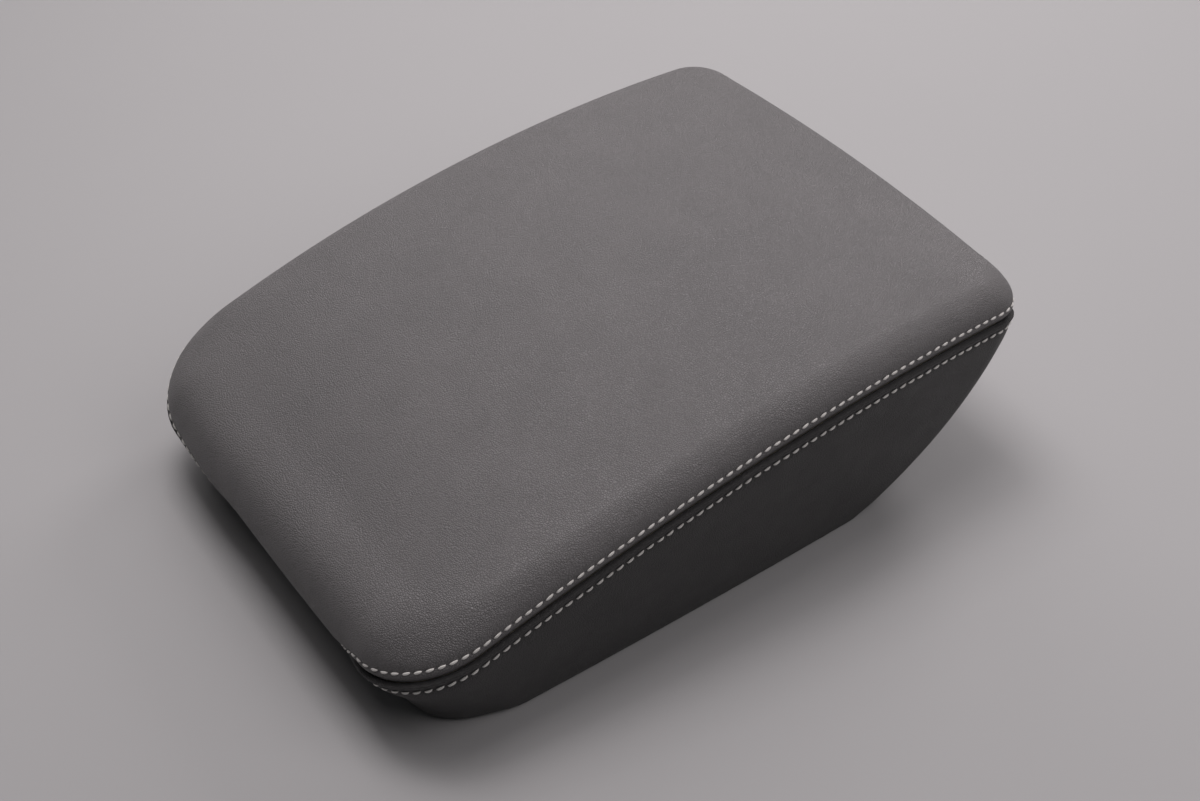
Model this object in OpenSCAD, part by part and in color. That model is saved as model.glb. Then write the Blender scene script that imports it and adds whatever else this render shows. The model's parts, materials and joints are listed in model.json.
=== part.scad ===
// Padded centre armrest lid for a car console.
// Sewn covers stretch over a foam pad on a moulded core. A moulded inner lid closes the
// underside and carries a paddle latch at the front and a friction hinge at the rear.
// X runs from the front lip to the rear end, Y across the car, Z up from the resting rim.

/* [Armrest outline] */
// Overall length from the front lip to the rear end
armrest_len = 310; // [295:1:330]
// Width at the front end, side to side
front_width = 220; // [205:1:235]
// Width at the rear end, side to side
rear_width = 220; // [205:1:235]
// How far each long side bows out at its middle
side_bow = 2.5; // [0:0.5:5]
// How far the front lip bows forward at its middle
front_bow = 2; // [0:0.5:5]
// How far the rear end bows back at its middle
rear_bow = 7; // [3:0.5:9]
// Plan radius of the two front corners
front_corner_r = 33.5; // [28:0.5:38]
// Plan radius of the two rear corners
rear_corner_r = 19; // [16:0.5:24]

/* [Armrest heights] */
// Height of the widest line, the belt, at the front lip
belt_front = 32; // [29:0.5:36]
// Height of the belt at mid-length
belt_mid = 69; // [65:0.5:74]
// Height of the belt at the rear end
belt_rear = 74.5; // [70:0.5:79]
// Rise of the rolled edge above the belt
roll_height = 21; // [19:0.5:24]
// Further rise of the crowned top above the rolled edge
crown_height = 6; // [4:0.5:9]

/* [Armrest sections] */
// Depth of the rolled edge along the long sides
roll_side = 14; // [12:0.5:17]
// Depth of the rolled edge at the front lip
roll_front = 24; // [20:0.5:28]
// Depth of the rolled edge at the rear end
roll_rear = 9.5; // [8:0.5:12]
// How far each side leans in from the belt to the rim
side_taper = 5; // [3:0.5:8]
// How far the front face runs back under the lip
front_undercut = 23; // [19:0.5:27]
// How far the rear face sweeps in under the rear end
rear_sweep = 69; // [62:0.5:74]

/* [Covers and seam] */
// Thickness of the cover material
cover_t = 1.4; // [1.1:0.1:1.8]
// Distance of the seam above the belt along the long sides
seam_rise = 4.5; // [2:0.5:7]
// Open gap between the two covers at the seam
seam_gap = 0.5; // [0.4:0.1:0.8]
// Height of the padded ridge on each side of the seam
seam_ridge = 0.5; // [0:0.1:0.8]
// Distance of each row of topstitching from the seam
stitch_offset = 3.8; // [3:0.1:5]
// Length from one stitch to the next
stitch_pitch = 4.65; // [4:0.05:6]
// Length of thread that shows in one stitch
stitch_len = 3.3; // [2.5:0.1:3.5]
// Diameter of the sewing thread
thread_d = 0.9; // [0.6:0.1:1.1]

/* [Foam and core] */
// Gap left between the covers and the foam
foam_gap = 0.8; // [0.7:0.1:1]
// Foam thickness on the sides
foam_side = 3; // [2:0.5:4]
// Foam thickness under the top cover
foam_top = 14; // [11:0.5:17]
// Wall thickness of the moulded core
core_wall = 3; // [2.5:0.5:3.5]
// Thickness of the core's ribs
rib_t = 2; // [1.5:0.5:3]
// Depth of the core's ribs below its roof
rib_depth = 12; // [8:1:15]
// Outer radius of the core's screw bosses
boss_r = 5; // [4:0.5:6]

/* [Inner lid] */
// Height of the inner lid's panel above the resting rim
lid_recess = 3; // [2:0.5:4]
// Thickness of the inner lid's panel
panel_t = 2.5; // [2:0.5:3]
// Height of the inner lid's edge wall
lid_wall_h = 12; // [10:1:15]
// Thickness of the inner lid's walls
lid_wall_t = 2; // [1.5:0.5:2.5]
// Gap between the inner lid and the core
lid_gap = 0.5; // [0.3:0.1:1]

/* [Fasteners and bumpers] */
// Radius of the lid screws' shanks
screw_r = 2; // [1.5:0.25:2.25]
// Radius of the lid screws' heads
screw_head_r = 4; // [3.5:0.25:4.5]
// Height of the lid screws' heads
screw_head_h = 2.4; // [2:0.2:2.8]
// Length of the lid screws' shanks
screw_len = 16; // [12:1:20]
// Distance of the front pair of lid screws behind the front rim
screw_inset_front = 34; // [30:1:38]
// Distance of the middle pair of lid screws behind the front rim
screw_inset_mid = 112; // [106:1:116]
// Distance of the rear pair of lid screws ahead of the rear rim
screw_inset_rear = 34; // [33:1:37]
// Distance of the lid screws inside the sides
screw_inset_side = 24; // [22:1:28]
// Radius of the rubber bumpers
bumper_r = 6; // [5:0.5:7]
// Distance of the front bumpers behind the front rim
bumper_inset_front = 21; // [20:0.5:24]
// Distance of the rear bumpers ahead of the rear rim
bumper_inset_rear = 28; // [26:1:31]
// Distance of the bumpers inside the sides
bumper_inset_side = 48; // [44:1:50]

/* [Hinge] */
// Distance of the hinge pin ahead of the rear rim
hinge_inset = 26; // [24:1:30]
// Height of the hinge pin above the resting rim
hinge_z = 7; // [7:0.5:9]
// Radius of the hinge pin
hinge_pin_r = 3; // [2.5:0.25:3.5]
// Radius of the hinge ears round the pin
hinge_ear_r = 6; // [5.5:0.25:6.5]
// Thickness of the hinge's pressed steel
hinge_steel_t = 2.5; // [2:0.25:3]
// Width over the outer faces of the base bracket's ears
hinge_width = 77; // [70:1:84]
// Length of the base bracket ahead of the pin
hinge_reach = 47; // [42:1:52]
// Radius of the base bracket's mounting holes
mount_hole_r = 2.75; // [2.25:0.25:3.25]
// Spacing of the hinge leaf's screws across the armrest
leaf_pitch_y = 40; // [36:1:46]
// Distance of the leaf's front screws behind its front edge
leaf_screw_inset = 7; // [6:0.5:8]
// Spacing of the mounting holes along the armrest
mount_pitch_x = 20; // [18:1:24]
// Spacing of the mounting holes across the armrest
mount_pitch_y = 56; // [50:1:60]

/* [Latch] */
// Distance of the latch pin behind the front rim
latch_inset = 47; // [45:1:52]
// Height of the latch pin above the resting rim
latch_z = 13; // [12.5:0.5:15]
// Radius of the latch pin
latch_pin_r = 1.5; // [1.25:0.25:2]
// Width of the finger paddle
paddle_width = 50; // [44:1:56]
// Length of the finger paddle ahead of its pin
paddle_len = 27; // [24:1:29]
// Thickness of the paddle's plate
paddle_t = 2.5; // [2:0.25:3]
// Wire diameter of the latch spring
spring_wire = 0.8; // [0.6:0.1:1]
// Number of turns in the latch spring
spring_turns = 4; // [3:1:6]

/* [Hidden] */

fine = 48;
slack = 0.15;             // gap between layers that lie on each other
run_gap = 0.05;           // radial gap of a pin that turns
half_len = armrest_len / 2;
roll_end = 85;            // degrees of roll before the crown takes over
roll_arc = (roll_side + roll_height) / 2;
roll_s = roll_arc * roll_end * PI / 180;
crown_s = 100;            // surface distance that stands for the whole crown
belt_blend = 0.15;        // how softly the faces turn under at the belt
sweep_straight = 0.53;    // share of the rear sweep that is straight
sweep_power = 3.5;        // how fast the rest of the sweep grows
corner_drop_front = 4.4;  // fall of the seam round a front corner
corner_drop_rear = 5;     // fall of the seam round a rear corner
seam_end_front = 0.55;    // where the seam meets the rim, on the front half edge
seam_end_rear = 4.35;     // where the seam meets the rim, on the rear half edge

// Layers from the outside in, as distances from the outer surface
foam_out = cover_t + foam_gap;
core_out = foam_out + foam_side + slack;
core_in = core_out + core_wall;
lid_out = core_in + lid_gap;
layer_z = cover_t + 2 * slack;   // height of the core's lower edge, on the turned-in hem

function lerp(a, b, k) = a + (b - a) * k;
function clamp(k) = min(1, max(0, k));
function smooth(k) = let (c = clamp(k)) c * c * (3 - 2 * c);
function unit(v) = v / norm(v);
function flip(p, side) = [p[0], p[1] * side, p[2]];

// Half width and belt height at a place along the armrest
function half_width(x) =
    lerp(front_width, rear_width, x / armrest_len + 0.5) / 2
    + side_bow * (1 - pow(x / half_len, 2));
function belt_z(x) =
    let (q = x / half_len)
    belt_mid + (belt_rear - belt_front) / 2 * q
    + ((belt_rear + belt_front) / 2 - belt_mid) * q * q;

// Half outline in plan. u runs 0 to 1 along the front edge, 1 to 2 round the front corner,
// 2 to 3 along the side, 3 to 4 round the rear corner and 4 to 5 along the rear edge.
function outline(u, in_front, in_rear, in_side, r_front, r_rear) =
    let (x_f = -half_len + in_front,
         x_r = half_len - in_rear,
         w_f = half_width(x_f) - in_side,
         w_r = half_width(x_r) - in_side,
         x1 = x_f + front_bow * pow((w_f - r_front) / w_f, 2) + r_front,
         x2 = x_r - rear_bow * pow((w_r - r_rear) / w_r, 2) - r_rear,
         y1 = half_width(x1) - in_side - r_front,
         y2 = half_width(x2) - in_side - r_rear,
         a = u < 2.5 ? (u - 1) * 90 : (u - 3) * 90)
    u <= 1 ? [x_f + front_bow * pow(y1 * u / w_f, 2), y1 * u]
    : u <= 2 ? [x1 - r_front * cos(a), y1 + r_front * sin(a)]
    : u <= 3 ? let (x = lerp(x1, x2, u - 2)) [x, half_width(x) - in_side]
    : u <= 4 ? [x2 + r_rear * sin(a), y2 + r_rear * cos(a)]
    : [x_r - rear_bow * pow(y2 * (5 - u) / w_r, 2), y2 * (5 - u)];

// Inward direction of the outline in plan
function inward(u) =
    u <= 1 ? [1, 0]
    : u <= 2 ? [cos((u - 1) * 90), -sin((u - 1) * 90)]
    : u <= 3 ? [0, -1]
    : u <= 4 ? [-sin((u - 3) * 90), -cos((u - 3) * 90)]
    : [-1, 0];

// Length of the face between belt and rim, measured down the slope
function face_len(u) =
    let (p = outline(u, 0, 0, 0, front_corner_r, rear_corner_r),
         n = inward(u),
         lean = n[0] > 0 ? n[0] * front_undercut : -n[0] * rear_sweep)
    norm([belt_z(p[0]), lean - n[1] * side_taper]);

function belt_turn(c) =
    (sqrt(c * c + belt_blend * belt_blend) - belt_blend)
    / (sqrt(1 + belt_blend * belt_blend) - belt_blend);
function sweep(c) =
    sweep_straight * belt_turn(c) + (1 - sweep_straight) * pow(c, sweep_power);

// Outer surface. s is the distance from the belt: up over the roll and crown when positive,
// down the face when negative. hem turns the surface in along the rim below the face.
function skin(u, s, hem = true) =
    s <= 0 ?
        let (h = face_len(u),
             t = hem ? max(0, 1 + s / h) : 1 + s / h,
             c = 1 - t,
             p = outline(u, front_undercut * belt_turn(c),
                         rear_sweep * sweep(c),
                         side_taper * pow(c, 1.5), front_corner_r, rear_corner_r),
             q = hem ? p + inward(u) * max(0, -h - s) : p)
        [q[0], q[1], t * belt_z(p[0])]
    : s <= roll_s ?
        let (a = s / roll_arc * 180 / PI,
             k = 1 - cos(a),
             p = outline(u, roll_front * k, roll_rear * k, roll_side * k,
                         front_corner_r - 0.5 * roll_side * k,
                         rear_corner_r - 0.3 * roll_side * k))
        [p[0], p[1], belt_z(p[0]) + roll_height * sin(a)]
    :
        let (q = (s - roll_s) / crown_s,
             p = skin(u, roll_s) * (1 - q))
        [p[0], p[1], belt_z(p[0]) + roll_height * sin(roll_end)
                     + crown_height * (1 - (1 - q) * (1 - q))];

// Outward direction of the surface, from small steps both ways
function outward(u, s, hem = true) =
    let (du = 0.01,
         ds = 0.4,
         a = skin(min(5, u + du), s, hem) - skin(max(0, u - du), s, hem),
         b = skin(u, s + ds, hem) - skin(u, s - ds, hem),
         n = unit(cross(b, a)))
    u <= 0 || u >= 5 ? unit([n[0], 0, n[2]]) : n;

// A point inside the surface by a depth
function inside(u, s, depth, hem = true) =
    skin(u, s, hem) - depth * outward(u, s, hem);

// The point at height z of the face's inner layer at a depth
function rim_point(u, depth, z) =
    let (h = face_len(u),
         steep = h / belt_z(outline(u, 0, 0, 0, front_corner_r, rear_corner_r)[0]),
         s0 = -h,
         p0 = inside(u, s0, depth, false),
         s1 = s0 - (p0[2] - z) * steep,
         p1 = inside(u, s1, depth, false),
         s2 = s1 - (p1[2] - z) * steep,
         p2 = inside(u, s2, depth, false))
    [p2[0], p2[1], z];

// Inner layers are nested outlines. A layer lies d inside the faces and dt under the top.
// Point on the face, at share t of the belt's height
function nested(u, t, d) =
    let (c = 1 - t,
         c0 = max(0, c - 0.01),
         step = c + 0.01 - c0,
         mf = front_undercut * (belt_turn(c + 0.01) - belt_turn(c0)) / step / belt_front,
         mr = rear_sweep * (sweep(c + 0.01) - sweep(c0)) / step / belt_rear,
         p = outline(u, front_undercut * belt_turn(c) + d * sqrt(1 + mf * mf),
                     rear_sweep * sweep(c) + d * sqrt(1 + mr * mr),
                     side_taper * pow(c, 1.5) + d,
                     max(3, front_corner_r - d), max(3, rear_corner_r - d)))
    [p[0], p[1], t * belt_z(p[0])];
// Share of the belt's height at which a layer reaches the height z
function rim_share(u, d, z) = z / belt_z(nested(u, z / belt_mid, d)[0]);
function nested_rim(u, d, z) =
    let (p = nested(u, rim_share(u, d, z), d)) [p[0], p[1], z];
// Point on the roll, at an angle
function nested_roll(u, a, d, dt) =
    let (k = 1 - cos(a),
         p = outline(u, d + (roll_front - d) * k, d + (roll_rear - d) * k,
                     d + (roll_side - d) * k,
                     max(3, front_corner_r - d - 0.5 * (roll_side - d) * k),
                     max(3, rear_corner_r - d - 0.3 * (roll_side - d) * k)))
    [p[0], p[1], belt_z(p[0]) + (roll_height - dt) * sin(a)];
// Point on the crown, at share q of the way to the middle
function nested_crown(u, q, d, dt) =
    let (p = nested_roll(u, roll_end, d, dt) * (1 - q))
    [p[0], p[1], belt_z(p[0]) + (roll_height - dt) * sin(roll_end)
                 + crown_height * (1 - (1 - q) * (1 - q))];

// Width of the hem that is turned in under the rim
function hem_w(u) =
    let (p = skin(u, -face_len(u)), q = nested_rim(u, core_in, layer_z))
    norm([p[0] - q[0], p[1] - q[1]]);

// Where the seam lies on the skin: along the side, round the corners, then down the end
// faces to the rim, where it turns straight down.
seam_foot = 3;
function seam_s(u) =
    let (foot = seam_foot - face_len(u))
    u < 1 ? let (q = clamp((1 - u) / (1 - seam_end_front)))
            lerp(seam_rise - corner_drop_front, foot, pow(q, 1.3))
    : u < 2 ? seam_rise - corner_drop_front * pow(2 - u, 1.5)
    : u <= 3 ? seam_rise
    : u <= 4 ? seam_rise - corner_drop_rear * pow(u - 3, 2)
    : let (q = clamp((u - 4) / (seam_end_rear - 4)))
      lerp(seam_rise - corner_drop_rear, foot, pow(q, 1.2));

// Stretch of a distance taken square to the seam, where the seam runs at a slope
function seam_k(u) =
    let (d = 0.01,
         run = norm(skin(u + d, seam_s(u)) - skin(u - d, seam_s(u))),
         fall = seam_s(u + d) - seam_s(u - d))
    min(1.8, sqrt(1 + pow(fall / run, 2)));

// Padding of the seam allowance: a dip at the seam, a ridge beside it, then flat
ridge_at = 1.6;
ridge_end = 6.5;
function seam_lift(d) =
    let (a = abs(d))
    a < ridge_at ? lerp(-seam_ridge, seam_ridge, a / ridge_at)
    : a < stitch_offset
        ? lerp(seam_ridge, 0, (a - ridge_at) / (stitch_offset - ridge_at))
    : 0;
function has_seam(u) = u > seam_end_front + 0.01 && u < seam_end_rear - 0.01;
function at_seam_end(u) = u > seam_end_front + 0.001 && u < seam_end_rear - 0.001;
function cover_point(u, s) =
    let (lift = has_seam(u) ? seam_lift((s - seam_s(u)) / seam_k(u)) : 0,
         fade = smooth((s + face_len(u) - 2) / 6))
    skin(u, s) + lift * fade * outward(u, s);

// Places round the half outline at which every layer is sampled
us_front = [0, 0.2, 0.4, seam_end_front, seam_end_front + 0.006, seam_end_front + 0.012,
            0.62, 0.7, 0.78, 0.86, 0.93];
us_corner = [for (i = [0:7]) 1 + i / 8];
us_side = [for (i = [0:11]) 2 + i / 12];
us_corner_rear = [for (i = [0:5]) 3 + i / 6];
us_rear = [4, 4.06, 4.12, 4.2, 4.26, 4.3, seam_end_rear - 0.012, seam_end_rear - 0.006,
           seam_end_rear, 4.5, 4.75, 5];
us_half = concat(us_front, us_corner, us_side, us_corner_rear, us_rear);
// The inner layers use every second or third of these places
us_inner_half = concat([0, 0.4, 0.7], [for (i = [0:3]) 1 + i / 4],
                       [for (i = [0:3]) 2 + i / 4], [for (i = [0:2]) 3 + i / 3],
                       [4, 4.2, seam_end_rear, 4.75, 5]);
// Both halves as [place, side], once round
function both_halves(us) = concat([for (u = us) [u, 1]],
                                 [for (i = [len(us) - 2:-1:1]) [us[i], -1]]);
us_ring = both_halves(us_half);
us_inner = both_halves(us_inner_half);

// Surface distances of the top cover's rings at one place, lower edge first
crown_shares = [0.1, 0.25, 0.45, 0.7];
function top_rings(u) =
    let (h = face_len(u),
         low = has_seam(u) ? seam_s(u) : at_seam_end(u) ? -h - 2 : -h - hem_w(u),
         k = has_seam(u) ? seam_k(u) : 1,
         edge = has_seam(u) ? seam_gap / 2 : 0,
         first = [low + edge,
                  max(low + k * ridge_at, -h - 1.2),
                  max(low + k * stitch_offset, -h + 1.2),
                  max(low + k * ridge_end, -h + 8)],
         f = first[3],
         on_roll = smooth((f + 20) / 20),
         low_end = concat([for (k = [0.88, 0.72, 0.56, 0.4, 0.26, 0.13, 0]) f * k],
                          [for (k = [1:3]) roll_s * k / 3]),
         high_end = [for (i = [1:10]) lerp(f, roll_s, i / 10)])
    concat(first,
           [for (i = [0:9]) lerp(low_end[i], high_end[i], on_roll)],
           [for (q = crown_shares) roll_s + q * crown_s]);

// Faces of a closed shell: columns of points round the armrest, outer column then inner
// column, both closed at the centre of the top by one point each.
module crown_shell(outer, inner, outer_top, inner_top) {
    n = len(outer);
    m = len(outer[0]);
    inner_at = n * m;
    points = concat([for (c = outer) each c], [for (c = inner) each c],
                    [outer_top, inner_top]);
    top_out = 2 * n * m;
    top_in = top_out + 1;
    faces = [
        for (i = [0:n - 1]) let (j = (i + 1) % n) each concat(
            [for (k = [0:m - 2]) each [
                [i * m + k, j * m + k + 1, i * m + k + 1],
                [i * m + k, j * m + k, j * m + k + 1],
                [inner_at + i * m + k, inner_at + i * m + k + 1, inner_at + j * m + k + 1],
                [inner_at + i * m + k, inner_at + j * m + k + 1, inner_at + j * m + k]]],
            [[i * m + m - 1, j * m + m - 1, top_out],
             [inner_at + i * m + m - 1, top_in, inner_at + j * m + m - 1],
             [i * m, inner_at + j * m, j * m],
             [i * m, inner_at + i * m, inner_at + j * m]])];
    polyhedron(points = points, faces = faces, convexity = 6);
}

// Top cover: one panel from the front rim over the top to the rear rim
module top_cover() {
    outer = [for (c = us_ring) [for (s = top_rings(c[0])) flip(cover_point(c[0], s), c[1])]];
    inner = [for (c = us_ring) [for (s = top_rings(c[0]))
        flip(cover_inner(c[0], s), c[1])]];
    color([0.20, 0.19, 0.19])
        crown_shell(outer, inner, skin(0, roll_s + crown_s),
                    skin(0, roll_s + crown_s) - [0, 0, cover_t]);
}

// Inner face of a cover. Near the rim's corner it keeps the hem's thickness.
function cover_inner(u, s) =
    let (h = face_len(u))
    s < -h ? let (p = skin(u, min(s, -h - cover_t))) [p[0], p[1], cover_t]
    : s < -h + 2 * cover_t ? rim_point(u, cover_t, cover_t + 1.2 * (s + h))
    : inside(u, s, cover_t);

// Side cover: one panel between the seam and the rim, round both corners
face_steps = [0.2, 0.44, 0.68, 0.86];
short_steps = [0.2, 0.4, 0.55, 0.7, 0.82, 0.9, 0.96, 1];
function side_rings(u) =
    let (h = face_len(u),
         foot = 1.2 - h,
         high = seam_s(u) - seam_gap / 2,
         k = seam_k(u),
         edge = seam_gap / 2,
         flat_end = high - k * ridge_end,
         long = concat([for (q = face_steps) lerp(foot, flat_end, q)],
                       [flat_end, high - k * stitch_offset + edge,
                        high - k * ridge_at + edge, high]),
         w = smooth((high + h - 16) / 14))
    concat([-h - hem_w(u), -foot - 2 * h, foot],
           [for (i = [0:7]) lerp(lerp(foot, high, short_steps[i]), long[i], w)]);

module side_cover() {
    tip = 0.025;
    us = concat([seam_end_front + tip],
                [for (u = us_half) if (u > seam_end_front + tip && u < seam_end_rear - tip) u],
                [seam_end_rear - tip]);
    outer = [for (u = us) [for (s = side_rings(u)) cover_point(u, s)]];
    inner = [for (u = us) [for (s = side_rings(u)) cover_inner(u, s)]];
    color([0.16, 0.155, 0.155])
        open_shell(outer, inner);
}

// Faces of a closed shell over a strip: outer columns, inner columns, all edges closed
module open_shell(outer, inner) {
    n = len(outer);
    m = len(outer[0]);
    b = n * m;
    points = concat([for (c = outer) each c], [for (c = inner) each c]);
    last = (n - 1) * m;
    faces = concat(
        [for (i = [0:n - 2], k = [0:m - 2]) each [
            [i * m + k, (i + 1) * m + k + 1, i * m + k + 1],
            [i * m + k, (i + 1) * m + k, (i + 1) * m + k + 1],
            [b + i * m + k, b + i * m + k + 1, b + (i + 1) * m + k + 1],
            [b + i * m + k, b + (i + 1) * m + k + 1, b + (i + 1) * m + k]]],
        [for (i = [0:n - 2]) each [
            [i * m, b + (i + 1) * m, (i + 1) * m],
            [i * m, b + i * m, b + (i + 1) * m],
            [i * m + m - 1, (i + 1) * m + m - 1, b + (i + 1) * m + m - 1],
            [i * m + m - 1, b + (i + 1) * m + m - 1, b + i * m + m - 1]]],
        [for (k = [0:m - 2]) each [
            [k, k + 1, b + k + 1],
            [k, b + k + 1, b + k],
            [last + k, b + last + k + 1, last + k + 1],
            [last + k, b + last + k, b + last + k + 1]]]);
    polyhedron(points = points, faces = faces, convexity = 6);
}

// The core's depth under the top, outer and inner face
core_top = core_out + foam_top - foam_side;
core_top_in = core_top + core_wall;

// Rings of a layer at one place, rim first
function layer_column(u, d, dt, z) =
    let (t = rim_share(u, d, z))
    concat([nested_rim(u, d, z)],
           [for (k = [0.15, 0.35, 0.6, 0.82, 1]) nested(u, lerp(t, 1, k), d)],
           [for (a = [28, 56, roll_end]) nested_roll(u, a, d, dt)],
           [for (q = [0.25, 0.7]) nested_crown(u, q, d, dt)]);
function layer(d, dt, z) =
    [for (c = us_inner) [for (p = layer_column(c[0], d, dt, z)) flip(p, c[1])]];
function layer_top(dt) = nested_crown(0, 1, 0, dt);

// Foam pad: moulded foam between the covers and the core
module foam_pad() {
    color([0.86, 0.80, 0.62])
        crown_shell(layer(foam_out, foam_out, foam_out),
                    layer(core_out - slack, core_top - slack, foam_out),
                    layer_top(foam_out), layer_top(core_top - slack));
}

// Solid bounded by the middle of the core's wall, from its level rim up
module core_solid() {
    mid = core_wall / 2;
    cols = layer(core_out + mid, core_top + mid, layer_z);
    n = len(cols);
    m = len(cols[0]);
    polyhedron(
        points = concat([for (c = cols) each c], [layer_top(core_top + mid)]),
        faces = concat(
            [for (i = [0:n - 1]) let (j = (i + 1) % n) each concat(
                [for (k = [0:m - 2]) each [
                    [i * m + k, j * m + k + 1, i * m + k + 1],
                    [i * m + k, j * m + k, j * m + k + 1]]],
                [[i * m + m - 1, j * m + m - 1, n * m]])],
            [[for (i = [n - 1:-1:0]) i * m]]),
        convexity = 4);
}

// Places that the inner lid, the core and their screws share
rim_front = -half_len + front_undercut;
rim_rear = half_len - rear_sweep;
hinge_x = rim_rear - hinge_inset;
latch_x = rim_front + latch_inset;
boss_xs = [rim_front + screw_inset_front, rim_front + screw_inset_mid,
           rim_rear - screw_inset_rear];
boss_xy = [for (x = boss_xs, side = [-1, 1])
           [x, side * (half_width(x) - screw_inset_side)]];
panel_top = lid_recess + panel_t;
boss_z = panel_top + slack;

// Moulded core: a thin shell with ribs under its roof and bosses down to the inner lid
module lid_core() {
    color([0.22, 0.22, 0.23]) difference() {
        union() {
            crown_shell(layer(core_out, core_top, layer_z), layer(core_in, core_top_in, layer_z),
                        layer_top(core_top), layer_top(core_top_in));
            intersection() {
                core_solid();
                core_inside();
            }
        }
        for (p = boss_xy)
            translate([p[0], p[1], boss_z - 1])
                cylinder(r = screw_r + run_gap, h = screw_len, $fn = fine);
        for (p = leaf_screw_xy)
            translate([p[0], p[1], leaf_boss_z - 1])
                cylinder(r = screw_r + run_gap, h = screw_len, $fn = fine);
    }
}

// Ribs and bosses before they are trimmed to the shell
module core_inside() {
    roof = belt_mid + roll_height;
    for (p = boss_xy)
        translate([p[0], p[1], boss_z])
            cylinder(r = boss_r, h = roof, $fn = fine);
    for (p = leaf_screw_xy)
        translate([p[0], p[1], leaf_boss_z])
            cylinder(r = boss_r, h = roof, $fn = fine);
    for (x = boss_xs)
        translate([x - rib_t / 2, -front_width, rib_z(x)])
            cube([rib_t, 2 * front_width, roof]);
    for (side = [-1, 1])
        translate([boss_xs[0], side * front_width / 5 - rib_t / 2, rib_z(boss_xs[0])])
            cube([boss_xs[2] - boss_xs[0], rib_t, roof]);
}
function rib_z(x) =
    belt_z(x) + roll_height - core_top_in - rib_depth;

// Plan of the inner lid, set in from the core's inner face by a clearance
module lid_plan(inset) {
    front = nested_rim(0, lid_out, lid_recess)[0] + half_len + inset;
    rear = half_len - nested_rim(5, lid_out, lid_recess)[0] + inset;
    edge = nested_rim(2.5, lid_out, lid_recess);
    polygon([for (c = us_inner)
        let (p = outline(c[0], front, rear, half_width(edge[0]) - edge[1] + inset,
                         front_corner_r - lid_out - inset, max(3, rear_corner_r - lid_out - inset)))
        [p[0], p[1] * c[1]]]);
}

// Pocket for the hinge and window for the latch, in plan and height
pocket_x0 = hinge_x - hinge_reach + 3;
pocket_x1 = hinge_x + hinge_ear_r + 3;
pocket_w = hinge_width + 4;
pocket_z = hinge_z + hinge_ear_r + 1;
window_x0 = latch_x - paddle_len - 3;
window_x1 = latch_x + 18;
window_w = paddle_width + 1;
leaf_boss_z = pocket_z + lid_wall_t + slack;
leaf_z = pocket_z - slack - hinge_steel_t;
leaf_x0 = pocket_x0 + 3;
washer_t = 0.8;
washer_gap = 0.05;
leaf_w = hinge_width - 2 * hinge_steel_t - 2 * (washer_t + 2 * washer_gap);
leaf_screw_x = boss_xs[2] - rib_t / 2 - boss_r - 1.5;   // clear of the rear rib
leaf_screw_xy = [for (x = [leaf_x0 + leaf_screw_inset, leaf_screw_x], side = [-1, 1])
                 [x, side * leaf_pitch_y / 2]];
flange_w = 11;
flange_t = 2.5;
housing_wall = 2;
housing_w = window_w + 2 * housing_wall;
housing_xy = [for (x = [window_x0 + 6, window_x1 - 6], side = [-1, 1])
              [x, side * (housing_w + flange_w) / 2]];
small_screw_r = 1.5;
small_head_r = 3;
small_head_h = 1.8;
small_screw_len = 5.5;

// Inner lid: panel, edge wall, ribs, hinge pocket and the holes for what it carries
module inner_lid() {
    color([0.10, 0.10, 0.105]) difference() {
        union() {
            difference() {
                translate([0, 0, lid_recess]) linear_extrude(lid_wall_h) lid_plan(0);
                translate([0, 0, panel_top]) linear_extrude(lid_wall_h) lid_plan(lid_wall_t);
            }
            translate([pocket_x0 - lid_wall_t, -pocket_w / 2 - lid_wall_t, lid_recess])
                cube([pocket_x1 - pocket_x0 + 2 * lid_wall_t,
                      pocket_w + 2 * lid_wall_t, pocket_z + lid_wall_t - lid_recess]);
            for (side = [-1, 1])
                translate([window_x1 + 6, side * front_width / 4 - rib_t / 2, lid_recess])
                    cube([hinge_x - window_x1 - 6, rib_t, lid_wall_h / 2]);
            for (x = [boss_xs[1] - 14, boss_xs[1] + 14])
                translate([x, -front_width / 2 + 20, lid_recess])
                    cube([rib_t, front_width - 40, lid_wall_h / 2]);
        }
        translate([pocket_x0, -pocket_w / 2, lid_recess - 1])
            cube([pocket_x1 - pocket_x0, pocket_w, pocket_z - lid_recess + 1]);
        translate([window_x0, -window_w / 2, lid_recess - 1])
            cube([window_x1 - window_x0, window_w, panel_t + 2]);
        for (p = boss_xy)
            translate([p[0], p[1], lid_recess - 1])
                cylinder(r = screw_r + run_gap, h = panel_t + 2, $fn = fine);
        for (p = leaf_screw_xy)
            translate([p[0], p[1], pocket_z - 1])
                cylinder(r = screw_r + run_gap, h = lid_wall_t + 2, $fn = fine);
        for (p = housing_xy)
            translate([p[0], p[1], lid_recess - 1])
                cylinder(r = small_screw_r + run_gap, h = panel_t + 2, $fn = fine);
        for (p = bumper_xy)
            translate([p[0], p[1], lid_recess - 1])
                cylinder(r = bumper_stem_r + run_gap, h = panel_t + 2, $fn = fine);
    }
}

// Pan-head screw, head down, with its shank up from the seat
module screw(head_r, head_h, shank_r, len) {
    rotate_extrude($fn = fine) polygon([
        [0, -head_h], [head_r * 0.7, -head_h], [head_r, -head_h * 0.55],
        [head_r, 0], [shank_r, 0], [shank_r, len - shank_r], [shank_r * 0.3, len], [0, len]]);
}

module lid_screws() {
    color([0.35, 0.35, 0.36])
        for (p = boss_xy)
            translate([p[0], p[1], lid_recess - run_gap])
                screw(screw_head_r, min(screw_head_h, lid_recess - 0.3), screw_r, screw_len);
}

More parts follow.
